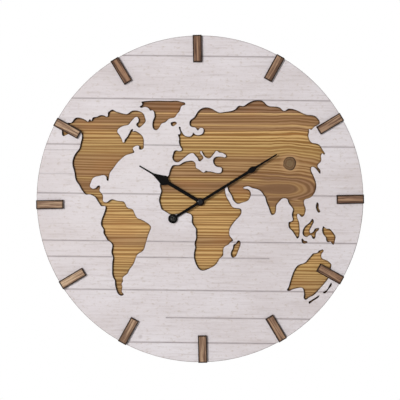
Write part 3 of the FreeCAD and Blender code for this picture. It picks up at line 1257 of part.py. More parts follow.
def make_setting_knob():
    """Fluted knob on the motion wheel's spindle, at the movement's back."""
    x, z = ARBORS["motion"]
    body = new_body("SettingKnob", f"{CASE_FRONT} + case_depth + knob_gap + knob_height")
    outline = new_sketch(body, "KnobOutline", "XZ_Plane", x, f"{HUB_Z} + {z}")
    draw_circle(outline, "knob_radius")
    pad(body, outline, "knob_height")
    bore = new_sketch(body, "KnobBore", "XZ_Plane", x, f"{HUB_Z} + {z}")
    draw_circle(bore, "motion_arbor_radius + shaft_fit")
    pocket(body, bore, "knob_height + overrun")
    flute = new_sketch(body, "KnobFlute", "XZ_Plane", f"{x} + knob_radius", f"{HUB_Z} + {z}")
    draw_circle(flute, "knob_flute_radius")
    groove = pocket(body, flute, "knob_height + overrun")
    doc.recompute()
    ring = body.newObject("PartDesign::PolarPattern", "KnobFlutes")
    ring.Originals = [groove]
    ring.Axis = (outline, ["N_Axis"])
    ring.Occurrences = FLUTE_COUNT
    body.Tip = ring
    label(body, "setting_knob")


# Hands, drawn pointing up from the hub and then turned to their place

def hand_outline(kind, spade_shares, tail=0):
    """Both sides of a hand: stem, spade and needle, as half widths along its length."""
    stem = value(f"{kind}_hand_stem") / 2
    spade = value(f"{kind}_hand_spade")
    width = value(f"{kind}_hand_spade_width")
    tip = value("needle_tip") / 2
    length = value(f"{kind}_hand_length")
    right = [Vector(share * width, 0, spade + along * width) for along, share in spade_shares]
    left = [Vector(-point.x, 0, point.z) for point in reversed(right)]
    right_curve = Part.BSplineCurve()
    right_curve.interpolate(right)
    left_curve = Part.BSplineCurve()
    left_curve.interpolate(left)
    needle = [right[-1], Vector(tip, 0, length), Vector(-tip, 0, length), left[0]]
    root = [left[-1], Vector(-stem, 0, spade - width), Vector(-stem, 0, -tail),
            Vector(stem, 0, -tail), Vector(stem, 0, spade - width), right[0]]
    edges = [right_curve.toShape()]
    edges += [Part.LineSegment(*ends).toShape() for ends in zip(needle, needle[1:])]
    edges.append(left_curve.toShape())
    edges += [Part.LineSegment(*ends).toShape() for ends in zip(root, root[1:])]
    return Part.Wire(Part.sortEdges(edges)[0])


def make_hand(kind, node, wire, arbor_radius, front, collet_length, extras, dishes):
    """A flat blade with a hub and a collet behind it, its front face at y = 0 before it turns."""
    blade = extrude(f"{node}Blade", wire, "hand_thickness")
    hub = rod(f"{node}Hub", "0", "0", "0", f"{kind}_hand_hub_radius", "hand_thickness")
    collet = rod(f"{node}Collet", "0", "0", "0", f"{arbor_radius} + shaft_fit + collet_wall",
                 f"hand_thickness + {collet_length}")
    bore = rod(f"{node}Bore", "0", "-overrun", "0", f"{arbor_radius} + shaft_fit",
               f"hand_thickness + {collet_length} + 2 * overrun")
    hand = cut(node, fuse(f"{node}Blank", [blade, hub, collet] + extras), [bore] + dishes)
    hand.Placement.Rotation = FreeCAD.Rotation(Vector(0, 1, 0), value(f"{kind}_hand_angle"))
    place(hand, "0", front, HUB_Z)
    return hand


def make_hands():
    hour_front = f"({CASE_FRONT} - hour_tube_reach + hand_tube_show)"
    hour = make_hand("hour", "HourHand", hand_outline("hour", HOUR_SPADE_SHARES),
                     "hour_tube_radius", hour_front, "collet_length", [], [])
    label(hour, "hour_hand")
    minute_front = f"({hour_front} - hands_gap - hand_thickness)"
    disc = rod("TailDisc", "0", "0", "-tail_length", "tail_disc_radius", "hand_thickness")
    dish = rod("TailDish", "0", "-overrun", "-tail_length", "tail_dish_radius",
               "tail_dish_depth + overrun")
    outline = hand_outline("minute", MINUTE_SPADE_SHARES, value("tail_length"))
    minute = make_hand("minute", "MinuteHand", outline, "minute_arbor_radius", minute_front,
                       "(hands_gap - hand_tube_show - collet_gap)", [disc], [dish])
    label(minute, "minute_hand")
    return minute_front


def make_cap_nut(back):
    """Domed nut that closes the hub in front of the minute hand."""
    body = new_body("CapNut", back)
    outline = new_sketch(body, "CapOutline", "XZ_Plane", "0", HUB_Z)
    draw_circle(outline, "cap_radius")
    block = pad(body, outline, "cap_height")
    doc.recompute()
    dome = body.newObject("PartDesign::Fillet", "CapDome")
    dome.Base = (block, edges_at(block.Shape, -value("cap_height")))
    bind(dome, Radius="cap_height - cap_skirt")
    bore = new_sketch(body, "CapBore", "XZ_Plane", "0", HUB_Z)
    draw_circle(bore, "minute_arbor_radius + shaft_fit")
    pocket(body, bore, "cap_bore_depth")
    label(body, "cap_nut")


# Assembly

make_face_board()
make_pine_boards()
for clock_hour in range(1, HOUR_COUNT + 1):
    make_hour_bar(clock_hour)
make_batten("Left", -1)
make_batten("Right", 1)
make_hanger_rail()
make_hanger_plate()
make_screws()
make_front_case()
make_back_cover()
make_bush()
make_bridge()
make_circuit_board()
make_motor_irons()
make_coil()
make_cell()
make_contacts()
make_rotor()
make_intermediate_wheel()
make_second_wheel()
make_third_wheel()
make_centre_wheel()
make_minute_arbor()
make_motion_wheel()
make_hour_wheel()
make_setting_knob()
make_cap_nut(make_hands())
doc.recompute()

# Every object has to be sound before anything is written

for item in doc.Objects:
    if "Invalid" in item.State or "Error" in item.State:
        raise RuntimeError(f"{item.Name} did not build: {item.State}")
for item in finished:
    if item.Shape.isNull() or not item.Shape.isValid() or item.Shape.Volume <= 0:
        raise RuntimeError(f"{item.Label} has no sound shape")

os.makedirs("parts", exist_ok=True)
for item in finished:
    item.Shape.exportStep(f"parts/{item.Label}.step")
    print(item.Label, "solids", len(item.Shape.Solids), "volume", round(item.Shape.Volume, 1))
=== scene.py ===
"""Looks of the world time clock: a round whitewashed board with the continents cut
through it to striped pine, twelve stained hour bars and two black hands."""

import json
import math

import bpy
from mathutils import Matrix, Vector


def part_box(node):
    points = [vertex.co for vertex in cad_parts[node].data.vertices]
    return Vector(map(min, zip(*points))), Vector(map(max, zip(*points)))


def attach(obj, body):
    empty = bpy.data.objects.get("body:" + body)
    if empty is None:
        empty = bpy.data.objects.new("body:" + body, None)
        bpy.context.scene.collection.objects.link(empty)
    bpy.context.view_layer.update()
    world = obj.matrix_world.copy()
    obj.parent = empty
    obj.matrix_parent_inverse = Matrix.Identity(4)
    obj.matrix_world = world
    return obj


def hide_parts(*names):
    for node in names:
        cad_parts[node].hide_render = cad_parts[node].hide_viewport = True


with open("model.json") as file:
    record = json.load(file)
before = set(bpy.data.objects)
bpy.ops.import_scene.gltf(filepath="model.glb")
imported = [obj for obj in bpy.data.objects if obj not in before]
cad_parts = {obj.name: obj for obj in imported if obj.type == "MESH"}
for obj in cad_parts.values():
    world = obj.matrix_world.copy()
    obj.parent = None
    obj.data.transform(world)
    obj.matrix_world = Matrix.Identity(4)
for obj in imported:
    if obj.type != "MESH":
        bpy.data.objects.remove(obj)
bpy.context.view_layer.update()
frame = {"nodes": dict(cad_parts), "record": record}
nodes = frame["nodes"]

QUARTER_TURN = math.radians(90)

# The dial, in metres and degrees; the wall is y = 0 and the hanging point z = 0

DIAL_HEIGHT = -0.190
DIAL_RADIUS = 0.300
DIAL_FRONT = -0.038
DIAL_BACK = -0.032
GROOVE_FLOOR = DIAL_FRONT + 0.0008
PLANK_TILT = 0.65
HUB_DROP = 0.0056
HUB_HEIGHT = DIAL_HEIGHT - HUB_DROP

# Height over the dial's centre and both ends of each sawn line between planks
PLANK_LINES = [
    (0.2619, -0.36, 0.36), (0.1824, -0.36, 0.36), (0.0978, -0.36, 0.36),
    (0.0078, -0.36, 0.36), (-0.0789, -0.36, 0.36), (-0.1083, -0.36, 0.1275),
    (-0.1683, -0.36, 0.36), (-0.2187, -0.063, 0.36), (-0.2643, -0.36, 0.36),
]

# Faint lines from the left edge: height over the dial's centre, and where each fades
FAINT_LINES = [(0.0873, -0.235), (0.0435, -0.228)]
FAINT_FADE = 0.07

# A knot under the paint, across and over the dial's centre, how ragged it is, and where it
# starts and is full, as distances from its middle
PAINTED_KNOT = (-0.1095, -0.253)
PAINTED_KNOT_RAGGED = 0.006
PAINTED_KNOT_EDGE = (0.0085, 0.004)

# The rim's painted shade line and its pale wall: how far in from the edge they start and are full
RIM_SHADE = (0.0016, 0.0005)
RIM_WALL = (0.0012, 0.0006)

# The hour bars

HOURS = 12
BAR_LENGTH = 0.050
BAR_WIDTH = 0.0165
BAR_THICKNESS = 0.006
BAR_RING = 0.2756
BAR_EASE = 0.0007
BAR_CORNER = 0.0006
BARS_TURNED = -1.0
BAR_SEED = 5

# The burn along a bar's edges: how far in it reaches, and how far in it is full
BURN_REACH = 0.0032
BURN_FULL = 0.0012

# How far apart in the wood's pattern two bars may be cut
BARS_APART = 3.0

# A bar's stain and painted light, from 0, dark, to 1, pale: the hour of the bar that painted light
# makes palest, how much darker the bars across from it are, what every bar has, and what chance
# adds at most
PAINTED_LIGHT_HOUR = 8
PAINTED_LIGHT_FALL = 0.72
TONE_LEAST = 0.02
TONE_CHANCE = 0.2

# Bars whose stain is rubbed paler than their neighbours', by hour, and by how much
RUBBED_BARS = {2: 0.20, 5: 0.10, 6: 0.32, 10: 0.45}

# The minute hand's tail

MINUTE_ANGLE = 58.25
TAIL_LENGTH = 0.0587
TAIL_DISH = 0.0056
DISH_EDGE = 0.0006

# The movement's coil and the cell's negative contact; the wires are given by their radius

WINDING_WIRE = 0.00008
WINDING_TURNS = 40.0
CONTACT_THICKNESS = 0.0004
CONTACT_WIDTH = 0.010
CONTACT_TAB = 0.002
SPRING_WIRE = 0.00022
SPRING_RADIUS = 0.0030
SPRING_TURNS = 2.6

# How finely the shapes are made: steps round a bar's corner, steps a turn and sides of the
# wires, and the distance within which corners are joined
CORNER_STEPS = 3
WINDING_STEPS = 20
WINDING_SIDES = 6
SPRING_STEPS = 32
SPRING_SIDES = 8
JOINED_WITHIN = 0.00001

# The pine panel: its back, its boards' width, and how far they reach under the centre

PINE_BACK = -0.022
PINE_BOARD = 0.1176
PINE_REACH = 0.294

# The knot, across and over the dial's centre. The grain bends over its bend width, and
# each pair is where a tone starts and is full, as distances from its middle
KNOT_PLACE = (0.165, 0.0650)
KNOT_BEND = 0.010
KNOT_HALO = (0.021, 0.013)
KNOT_EDGE = (0.0152, 0.0142)
KNOT_BARK = (0.0118, 0.0136)
KNOT_EYE = (0.008, 0.003)

# The knot's ragged edge, how close its rings are, how much they blur, and from where on its
# left to where on its right a painted shade darkens the bark line
KNOT_RAGGED = 0.005
KNOT_RINGS = 1300.0
KNOT_BLUR = 9.0
KNOT_SHADE_SIDE = (-0.010, 0.009)

# The swirl under it: its middle, how many times it is drawn out left and right of that,
# the half width over which one turns into the other, how much it wobbles, its size, and
# where it starts and is full, across and over the centre
SWIRL_PLACE = (0.156, 0.0200)
SWIRL_DRAWN_LEFT = 7
SWIRL_DRAWN_RIGHT = 2.6
SWIRL_TURNOVER = 0.012
SWIRL_WOBBLE = 0.005
SWIRL_REACH = 0.032
SWIRL_ACROSS = (0.085, 0.130)
SWIRL_UP = (-0.026, 0.002)

# Where the swirl's rings start and are full, from its middle, and how they calm the stripes
SWIRL_RINGED = (0.031, 0.026)
SWIRL_CALM = 0.45

# The stripes: how far they wander, their fall to the right, how slowly they change along
# their length, their pitch, how far it drifts, and the shares of beat, streaks and threads
STRIPE_WANDER = 0.006
STRIPE_FALL = 0.0125
STRIPE_ALONG = 0.02
STRIPE_PITCH = 0.0056
STRIPE_DRIFT = 22.0
BEAT_SHARE = 0.32
STREAK_SHARE = 0.7
THREAD_SHARE = 0.30

PINE_TONES = {"pale": "#cfa872", "straw": "#ba925b", "honey": "#b08c57", "ochre": "#a07b51",
              "brown": "#95704b", "walnut": "#896649", "heart": "#7c5a3e"}

# What the tone is multiplied by in the dark late wood and in the pale early wood
LATE_WOOD = (0.60, 0.48, 0.34, 1.0)
EARLY_WOOD = (1.40, 1.50, 1.62, 1.0)

# Height over the dial's centre in millimetres, the pine's tone, and how lively its stripes
# are; the bands reach as far over and under the centre
BANDS_REACH = 200
PINE_BANDS = [
    (-190, "ochre", 0.7), (-128, "honey", 0.8), (-112, "straw", 0.7), (-92, "straw", 0.9),
    (-84, "ochre", 0.6), (-72, "ochre", 0.8), (-62, "straw", 0.9), (-40, "straw", 0.8),
    (-12, "honey", 1.0), (8, "honey", 1.0), (15, "brown", 0.5), (30, "brown", 0.5),
    (37, "honey", 0.9), (42, "brown", 1.0), (60, "ochre", 0.8), (76, "ochre", 0.7),
    (84, "honey", 0.6), (95, "honey", 0.7), (98, "honey", 1.0), (124, "straw", 1.1),
    (128, "brown", 0.7), (133.5, "brown", 0.7), (135, "pale", 0.3), (136.2, "pale", 0.3),
    (138, "brown", 0.6), (155, "brown", 0.6), (156.6, "pale", 0.3), (157.8, "pale", 0.3),
    (159.5, "walnut", 0.9), (182, "walnut", 0.9), (190, "ochre", 0.9),
]

# The swirl's tones from its middle, 0, to its reach, 1
SWIRL_RINGS = [
    (0.24, "heart"), (0.32, "ochre"), (0.37, "ochre"), (0.42, "brown"), (0.52, "walnut"),
    (0.68, "walnut"), (0.74, "ochre"), (0.78, "ochre"), (0.83, "walnut"), (1.0, "brown"),
]

# The painted shade lies deepest in the corners that are closed towards this side
SHADE_SIDE = (-0.72, -0.66, 0.2)

# Sawn woods: light, middle and dark tones, and the axis of the grain
SAWN_WOODS = {
    "batten_wood": ("#e0c498", "#cda777", "#a37a4e", "z"),
    "rail_wood": ("#dcbf92", "#c8a06f", "#9b7347", "x"),
}

# Metals: bright and dull tones, least and most roughness, and how fine the tool marks are
# along x, y and z
METALS = {
    "zinc_steel": ("#c9cdd0", "#9a9c98", 0.28, 0.5, (300, 300, 1200)),
    "brass": ("#d9b56a", "#a67f3c", 0.2, 0.42, (1500, 300, 1500)),
    "crystal_can": ("#d4d5d2", "#a3a39e", 0.15, 0.32, (3000, 400, 400)),
    "soft_iron": ("#a9a8a4", "#71706c", 0.3, 0.5, (2500, 400, 400)),
    "copper_wire": ("#c8713d", "#8a4322", 0.22, 0.38, (900, 900, 900)),
    "magnet": ("#5e6064", "#3a3c40", 0.3, 0.5, (1500, 1500, 1500)),
    "contact_steel": ("#d5d2c8", "#a8a498", 0.2, 0.4, (400, 2500, 400)),
}

# Mouldings: body and scuffed tones, least and most roughness, how fine the skin's grain
# is, its depth in metres, and the gloss
MOULDINGS = {
    "cap_black": ("#06070e", "#11131f", 0.12, 0.2, 2200, 0.00001, 0.25),
    "case_plastic": ("#161617", "#2d2d2e", 0.45, 0.62, 1600, 0.00006, 0.4),
    "knob_plastic": ("#1d1d1f", "#39393b", 0.35, 0.5, 1800, 0.00004, 0.4),
    "gasket_rubber": ("#141312", "#2c2a28", 0.7, 0.88, 1100, 0.00008, 0.3),
    "gear_plastic": ("#e4e0d2", "#c9c3b1", 0.3, 0.45, 2600, 0.00002, 0.4),
    "bridge_plastic": ("#e9e7df", "#cfccc0", 0.4, 0.55, 1900, 0.00004, 0.4),
    "chip_epoxy": ("#0d0d0d", "#262626", 0.25, 0.4, 2400, 0.00003, 0.4),
    "bobbin_plastic": ("#d7d2bf", "#b5af9a", 0.35, 0.5, 2200, 0.00003, 0.4),
    "cell_sleeve": ("#2b2f36", "#4c525a", 0.25, 0.4, 1500, 0.00002, 0.5),
}

# The circuit board: its weave, in radians a metre, and how fine its tracks are
BOARD_WEAVE = 9000.0
BOARD_TRACKS = 380

# Widths over which edges are rubbed
WOOD_WEAR = 0.0012
METAL_WEAR = 0.00025
MOULDED_WEAR = 0.0003
LACQUER_WEAR = 0.0003

# Camera and light

CAMERA_PLACE = Vector((-0.000055, -2.538, -0.19215))
VIEW_WIDTH = 0.7344
SENSOR_WIDTH = 36.0
FLOOR_HEIGHT = -0.9
FLOOR_REACH = 8.0
FLOOR_FADE = (0.5, 1.6)
KEY_PLACE = Vector((-2.35, -4.95, 0.50))
KEY_SIZE = 0.9
KEY_POWER = 186.0
FILL_PLACE = Vector((0.9, 1.8, 0.6))
FILL_SIZE = 1.2
FILL_POWER = 18.0
SKY_LIGHT = 0.24


# Finishes

def paint(code):
    """Linear colour of a colour written as a web code."""
    shades = [int(code[place:place + 2], 16) / 255 for place in (1, 3, 5)]
    linear = [s / 12.92 if s <= 0.04045 else ((s + 0.055) / 1.055) ** 2.4 for s in shades]
    return (*linear, 1.0)


class Finish:
    """A material being made: its shader, with short ways to add texture nodes to it."""

    def __init__(self, name, roughness, metallic=0.0, specular=0.5):
        self.material = bpy.data.materials.new(name)
        self.material.use_nodes = True
        self.tree = self.material.node_tree
        self.shader = self.tree.nodes["Principled BSDF"]
        self.shader.inputs["Roughness"].default_value = roughness
        self.shader.inputs["Metallic"].default_value = metallic
        self.shader.inputs["Specular IOR Level"].default_value = specular
        self.place = self.node("TexCoord").outputs["Object"]

    def feed(self, socket, value):
        """Links a socket to another, or sets its value."""
        if isinstance(value, bpy.types.NodeSocket):
            self.tree.links.new(value, socket)
        else:
            socket.default_value = value

    def node(self, kind, inputs=(), **settings):
        made = self.tree.nodes.new(f"ShaderNode{kind}")
        for setting, value in settings.items():
            setattr(made, setting, value)
        for socket, value in dict(inputs).items():
            self.feed(made.inputs[socket], value)
        return made

    def sum(self, operation, *values):
        return self.node("Math", enumerate(values), operation=operation).outputs[0]

    def parts(self, vector):
        return self.node("SeparateXYZ", {0: vector}).outputs

    def joined(self, x, y, z):
        return self.node("CombineXYZ", {0: x, 1: y, 2: z}).outputs[0]

    def mix(self, share, first, second, blend="MIX"):
        return self.node("Mix", {0: share, 6: first, 7: second},
                         data_type="RGBA", blend_type=blend).outputs[2]

    def tinted(self, ground, share, code):
        """A ground colour with a share of a colour written as a web code."""
        return self.mix(share, ground, paint(code))

    def stretched(self, x, y, z, vector=None):
        """Object coordinates, or another vector, scaled along each axis."""
        scaled = self.node("Mapping", {0: vector or self.place, "Scale": (x, y, z)})
        return scaled.outputs[0]

    def even(self, scale):
        """Object coordinates scaled alike along all axes."""
        return self.stretched(scale, scale, scale)

    def noise(self, vector, scale=1.0, detail=2.0, roughness=0.5, distortion=0.0):
        made = self.node("TexNoise", {"Vector": vector, "Scale": scale, "Detail": detail,
                                      "Roughness": roughness, "Distortion": distortion})
        return made.outputs["Fac"]

    def ramp(self, share, stops):
        """Colours, or plain numbers, along a share from 0 to 1."""
        made = self.node("ValToRGB", {0: share})
        slots = made.color_ramp.elements
        while len(slots) < len(stops):
            slots.new(1.0)
        for slot, (place, _) in zip(slots, stops):
            slot.position = place
        for slot, (place, shade) in zip(slots, stops):
            slot.color = paint(shade) if isinstance(shade, str) else (shade, shade, shade, 1.0)
        return made.outputs[0]

    def slide(self, value, start, end, low=0.0, high=1.0):
        """A smooth step from low at start to high at end."""
        made = self.node("MapRange", {0: value, 1: start, 2: end, 3: low, 4: high},
                         interpolation_type="SMOOTHSTEP")
        return made.outputs[0]

    def strayed(self, value, noise, amount):
        """A value that a noise moves up and down, by half the amount each way."""
        return self.sum("MULTIPLY_ADD", noise, amount, self.sum("SUBTRACT", value, amount / 2))

    def line(self, value, reach, full, strength=1.0):
        """A soft line where a value is 0: how far it reaches and how far it is full."""
        return self.slide(self.sum("ABSOLUTE", value), reach, full, 0, strength)

    def span(self, across, up):
        """Distance from a place that lies so far across and so far up."""
        return self.sum("SQRT", self.sum("MULTIPLY_ADD", across, across,
                                         self.sum("MULTIPLY", up, up)))

    def edges(self, width):
        """How sharply the surface turns within a width: 0 on flats, towards 1 on edges."""
        soft = self.node("Bevel", {"Radius": width}, samples=6).outputs[0]
        true = self.node("NewGeometry").outputs["Normal"]
        facing = self.node("VectorMath", {0: soft, 1: true}, operation="DOT_PRODUCT")
        return self.slide(facing.outputs["Value"], 0.995, 0.8)

    def colour(self, value):
        self.feed(self.shader.inputs["Base Color"], value)

    def rough(self, value, smooth, dull):
        """Roughness that follows a noise, from smooth to dull."""
        self.feed(self.shader.inputs["Roughness"], self.slide(value, 0.25, 0.75, smooth, dull))

    def bumps(self, *layers):
        """Stacks (height, distance) layers of fine relief."""
        normal = None
        for height, distance in layers:
            inputs = {"Height": height, "Distance": distance, "Strength": 1.0}
            if normal:
                inputs["Normal"] = normal
            normal = self.node("Bump", inputs).outputs[0]
        self.feed(self.shader.inputs["Normal"], normal)


def whitewash():
    """Chalky white paint, brushed along the planks, over a board with burnt cut edges."""
    paintwork = Finish("whitewashed_wood", roughness=0.75, specular=0.2)
    x, y, z = paintwork.parts(paintwork.place)
    rise = paintwork.sum("SUBTRACT", z, DIAL_HEIGHT)
    height = paintwork.sum("MULTIPLY_ADD", x, math.tan(math.radians(PLANK_TILT)), z)
    along = paintwork.joined(x, y, height)

    # Cloudy white, with brush strokes and a fine crackle
    clouds = paintwork.noise(paintwork.stretched(3.5, 1, 9, along), detail=3)
    strokes = paintwork.noise(paintwork.stretched(14, 1, 230, along), detail=4, roughness=0.65)
    crackle = paintwork.noise(paintwork.stretched(110, 1, 200, along), detail=5, roughness=0.72)
    white = paintwork.ramp(clouds, [(0.3, "#d5cbcb"), (0.5, "#dfd7d9"), (0.7, "#e6e0e3")])
    white = paintwork.tinted(white, paintwork.slide(strokes, 0.5, 0.72, 0, 0.5), "#c0b4b2")
    white = paintwork.tinted(white, paintwork.slide(strokes, 0.5, 0.3, 0, 0.4), "#ebe5e8")
    white = paintwork.tinted(white, paintwork.slide(crackle, 0.52, 0.68, 0, 0.6), "#c3b5ab")

    # Greyer beside the sawn lines, warmer in patches, with the faint lines over that
    for line_height, start, end in PLANK_LINES:
        level = paintwork.sum("SUBTRACT", height, DIAL_HEIGHT + line_height)
        beside = paintwork.line(level, reach=0.0028, full=0.0006, strength=0.5)
        inside = paintwork.sum("MULTIPLY", paintwork.sum("GREATER_THAN", x, start),
                               paintwork.sum("LESS_THAN", x, end))
        white = paintwork.tinted(white, paintwork.sum("MULTIPLY", beside, inside), "#b7acad")
    warm = paintwork.noise(paintwork.stretched(2.2, 1, 5.5, along), detail=1)
    white = paintwork.tinted(white, paintwork.slide(warm, 0.5, 0.8, 0, 0.35), "#d9cdc9")
    for line_height, fade in FAINT_LINES:
        level = paintwork.sum("SUBTRACT", height, DIAL_HEIGHT + line_height)
        faint = paintwork.line(level, reach=0.0018, full=0.0004)
        left = paintwork.slide(x, fade + FAINT_FADE, fade, 0, 0.35)
        white = paintwork.tinted(white, paintwork.sum("MULTIPLY", faint, left), "#a89d9f")

    # A knot that shows through, low on the left
    knot = paintwork.span(paintwork.sum("SUBTRACT", x, PAINTED_KNOT[0]),
                          paintwork.sum("SUBTRACT", rise, PAINTED_KNOT[1]))
    ragged = paintwork.sum("MULTIPLY_ADD", crackle, PAINTED_KNOT_RAGGED, knot)
    spot = paintwork.slide(ragged, *PAINTED_KNOT_EDGE, 0, 0.4)
    white = paintwork.tinted(white, spot, "#a79a98")

    # Grime in the sawn lines
    groove = paintwork.slide(y, DIAL_FRONT + 0.0002, GROOVE_FLOOR - 0.0001)
    grime = paintwork.noise(paintwork.stretched(40, 1, 5), detail=2)
    grey = paintwork.ramp(grime, [(0.35, "#a1989a"), (0.7, "#bcb2b3")])
    white = paintwork.mix(groove, white, grey)

    # A painted shade line along the rim, whose wall is pale, and burnt walls where the coasts are
    # cut
    inward = paintwork.sum("SUBTRACT", DIAL_RADIUS, paintwork.span(x, rise))
    retoned = paintwork.slide(inward, *RIM_SHADE, 0, 0.7)
    white = paintwork.tinted(white, retoned, "#857b77")
    scorch = paintwork.noise(paintwork.stretched(160, 40, 160), detail=3)
    burnt = paintwork.ramp(scorch, [(0.3, "#241107"), (0.6, "#38200f"), (0.8, "#50321b")])
    edge = paintwork.tinted(burnt, paintwork.slide(inward, *RIM_WALL), "#b9b0ae")
    normal = paintwork.parts(paintwork.node("NewGeometry").outputs["Normal"])
    wall = paintwork.slide(paintwork.sum("ABSOLUTE", normal[1]), 0.6, 0.3)
    deep = paintwork.slide(y, GROOVE_FLOOR, GROOVE_FLOOR + 0.0004)
    white = paintwork.mix(paintwork.sum("MULTIPLY", wall, deep), white, edge)

    # Bare wood on the back
    back = paintwork.slide(y, DIAL_BACK - 0.0004, DIAL_BACK - 0.0001)
    paintwork.colour(paintwork.tinted(white, back, "#b39770"))
    paintwork.rough(crackle, 0.68, 0.86)
    paintwork.bumps((strokes, 0.00025), (crackle, 0.00012))
    return paintwork.material


def stripe_level(pine, x, rise, above, square):
    """The height that each stripe follows, with the swirl's oval and how full it is.

    It takes the height above the knot, and the square of the distance from it.
    """
    # The grain parts round the knot, as a stream does round a stone
    kept = pine.sum("DIVIDE", square, pine.sum("ADD", square, KNOT_BEND ** 2))
    level = pine.sum("MULTIPLY_ADD", above, kept, KNOT_PLACE[1])

    # Below it the stripes close into a long oval, drawn out to the left
    wobble = pine.noise(pine.stretched(26, 1, 60), detail=2)
    aside = pine.sum("SUBTRACT", x, SWIRL_PLACE[0])
    drawn = pine.sum("MULTIPLY", aside, pine.slide(aside, -SWIRL_TURNOVER, SWIRL_TURNOVER,
                                                   1 / SWIRL_DRAWN_LEFT, 1 / SWIRL_DRAWN_RIGHT))
    above = pine.sum("SUBTRACT", level, SWIRL_PLACE[1])
    oval = pine.strayed(pine.span(drawn, above), wobble, SWIRL_WOBBLE)
    near = pine.sum("MULTIPLY", pine.slide(x, *SWIRL_ACROSS), pine.slide(rise, *SWIRL_UP))
    round_swirl = pine.sum("SUBTRACT", pine.sum("ADD", oval, SWIRL_PLACE[1]), level)
    level = pine.sum("MULTIPLY_ADD", near, round_swirl, level)

    wander = pine.noise(pine.stretched(2.4, 1, 5), detail=2)
    level = pine.strayed(level, wander, STRIPE_WANDER)
    return pine.sum("MULTIPLY_ADD", x, STRIPE_FALL, level), oval, near


def pine_grain(pine, x, level):
    """Streaks along the stripes, and the whole grain that they are a share of."""
    bands = pine.joined(pine.sum("MULTIPLY", x, STRIPE_ALONG), 0.0, level)
    broad = pine.noise(bands, scale=52, detail=1)
    streaks = pine.noise(bands, scale=150, detail=3, roughness=0.62)
    threads = pine.noise(bands, scale=520, detail=2, roughness=0.6)
    beat = pine.sum("MULTIPLY_ADD", level, 2 * math.pi / STRIPE_PITCH,
                    pine.sum("MULTIPLY", broad, STRIPE_DRIFT))
    beat = pine.sum("MULTIPLY_ADD", pine.sum("SINE", beat), 0.5, 0.5)
    grain = pine.sum("MULTIPLY_ADD", beat, BEAT_SHARE, pine.sum("MULTIPLY", streaks, STREAK_SHARE))
    return streaks, pine.sum("MULTIPLY_ADD", threads, THREAD_SHARE, grain)


def pine_stripes(pine, level, oval, near, grain):
    """Late and early wood in the tones of the bands and of the swirl's rings."""
    reach = BANDS_REACH / 1000
    share = pine.node("MapRange", {0: level, 1: -reach, 2: reach}).outputs[0]
    bands = [((height + BANDS_REACH) / (2 * BANDS_REACH), name, life)
             for height, name, life in PINE_BANDS]
    tone = pine.ramp(share, [(place, PINE_TONES[name]) for place, name, life in bands])
    lively = pine.ramp(share, [(place, life) for place, name, life in bands])
    rings = pine.ramp(pine.sum("DIVIDE", oval, SWIRL_REACH),
                      [(place, PINE_TONES[name]) for place, name in SWIRL_RINGS])
    ringed = pine.sum("MULTIPLY", near, pine.slide(oval, *SWIRL_RINGED, 0, 0.85))
    tone = pine.mix(ringed, tone, rings)
    stripes = pine.sum("SUBTRACT", pine.slide(grain, 0.54, 0.80), 0.5)
    calmed = pine.sum("MULTIPLY_ADD", ringed, -SWIRL_CALM, lively)
    stripes = pine.sum("MULTIPLY_ADD", stripes, calmed, 0.5)
    late = pine.mix(1.0, tone, LATE_WOOD, "MULTIPLY")
    early = pine.mix(1.0, tone, EARLY_WOOD, "MULTIPLY")
    return pine.mix(stripes, late, early)


def knot_wood(pine, wood, aside, knot):
    """The knot: olive brown, ringed, with its dark bark line deepened by painted shade on the
    right.
    """
    wood = pine.tinted(wood, pine.slide(knot, *KNOT_HALO, 0, 0.35), "#bd946c")
    lump = pine.noise(pine.stretched(75, 1, 75), detail=2)
    ragged = pine.sum("MULTIPLY_ADD", lump, KNOT_RAGGED, knot)
    blur = pine.noise(pine.stretched(210, 1, 150), detail=3, distortion=0.8)
    years = pine.sum("SINE", pine.sum("MULTIPLY_ADD", ragged, KNOT_RINGS,
                                      pine.sum("MULTIPLY", blur, KNOT_BLUR)))
    core = pine.mix(pine.slide(years, -1, 1), paint("#6c5036"), paint("#7d6144"))
    core = pine.tinted(core, pine.slide(blur, 0.42, 0.68, 0, 0.6), "#5c4630")
    core = pine.tinted(core, pine.slide(knot, *KNOT_EYE, 0, 0.45), "#7d6a4c")
    # The dark bark line, with painted shade making it darker on the right
    bark_and_shade = pine.sum("MULTIPLY", pine.slide(aside, *KNOT_SHADE_SIDE, 0.35, 0.95),
                    pine.slide(ragged, *KNOT_BARK))
    core = pine.tinted(core, bark_and_shade, "#3a2718")
    return pine.mix(pine.slide(ragged, *KNOT_EDGE), wood, core)


def pine_corner_shade(pine):
    """Painted shade in the corner where the pine meets the cut walls, most on the left."""
    corner = pine.node("AmbientOcclusion", {"Distance": 0.004}, samples=8)
    left = pine.node("AmbientOcclusion", {"Distance": 0.005, "Normal": pine.joined(*SHADE_SIDE)},
                     samples=8)
    uneven_shade = pine.slide(pine.noise(pine.stretched(55, 1, 55), detail=2), 0.36, 0.60, 0.45, 1.0)
    painted_shade = pine.sum("MULTIPLY", pine.slide(corner.outputs["AO"], 0.90, 0.60, 0, 0.92), uneven_shade)
    return pine.sum("MAXIMUM", painted_shade, pine.slide(left.outputs["AO"], 0.78, 0.50, 0, 0.95))


def sawn_pine(pine, rise, grain):
    """The panel's raw back, a little different in tone on each board."""
    board = pine.sum("FLOOR", pine.sum("DIVIDE", pine.sum("ADD", rise, PINE_REACH), PINE_BOARD))
    own = pine.node("TexWhiteNoise", {"W": board}, noise_dimensions="1D").outputs["Value"]
    raw = pine.mix(own, paint("#d8b585"), paint("#bf935f"))
    dark = pine.mix(1.0, raw, paint("#c9b096"), "MULTIPLY")
    return pine.mix(pine.slide(grain, 0.45, 0.9), dark, raw)


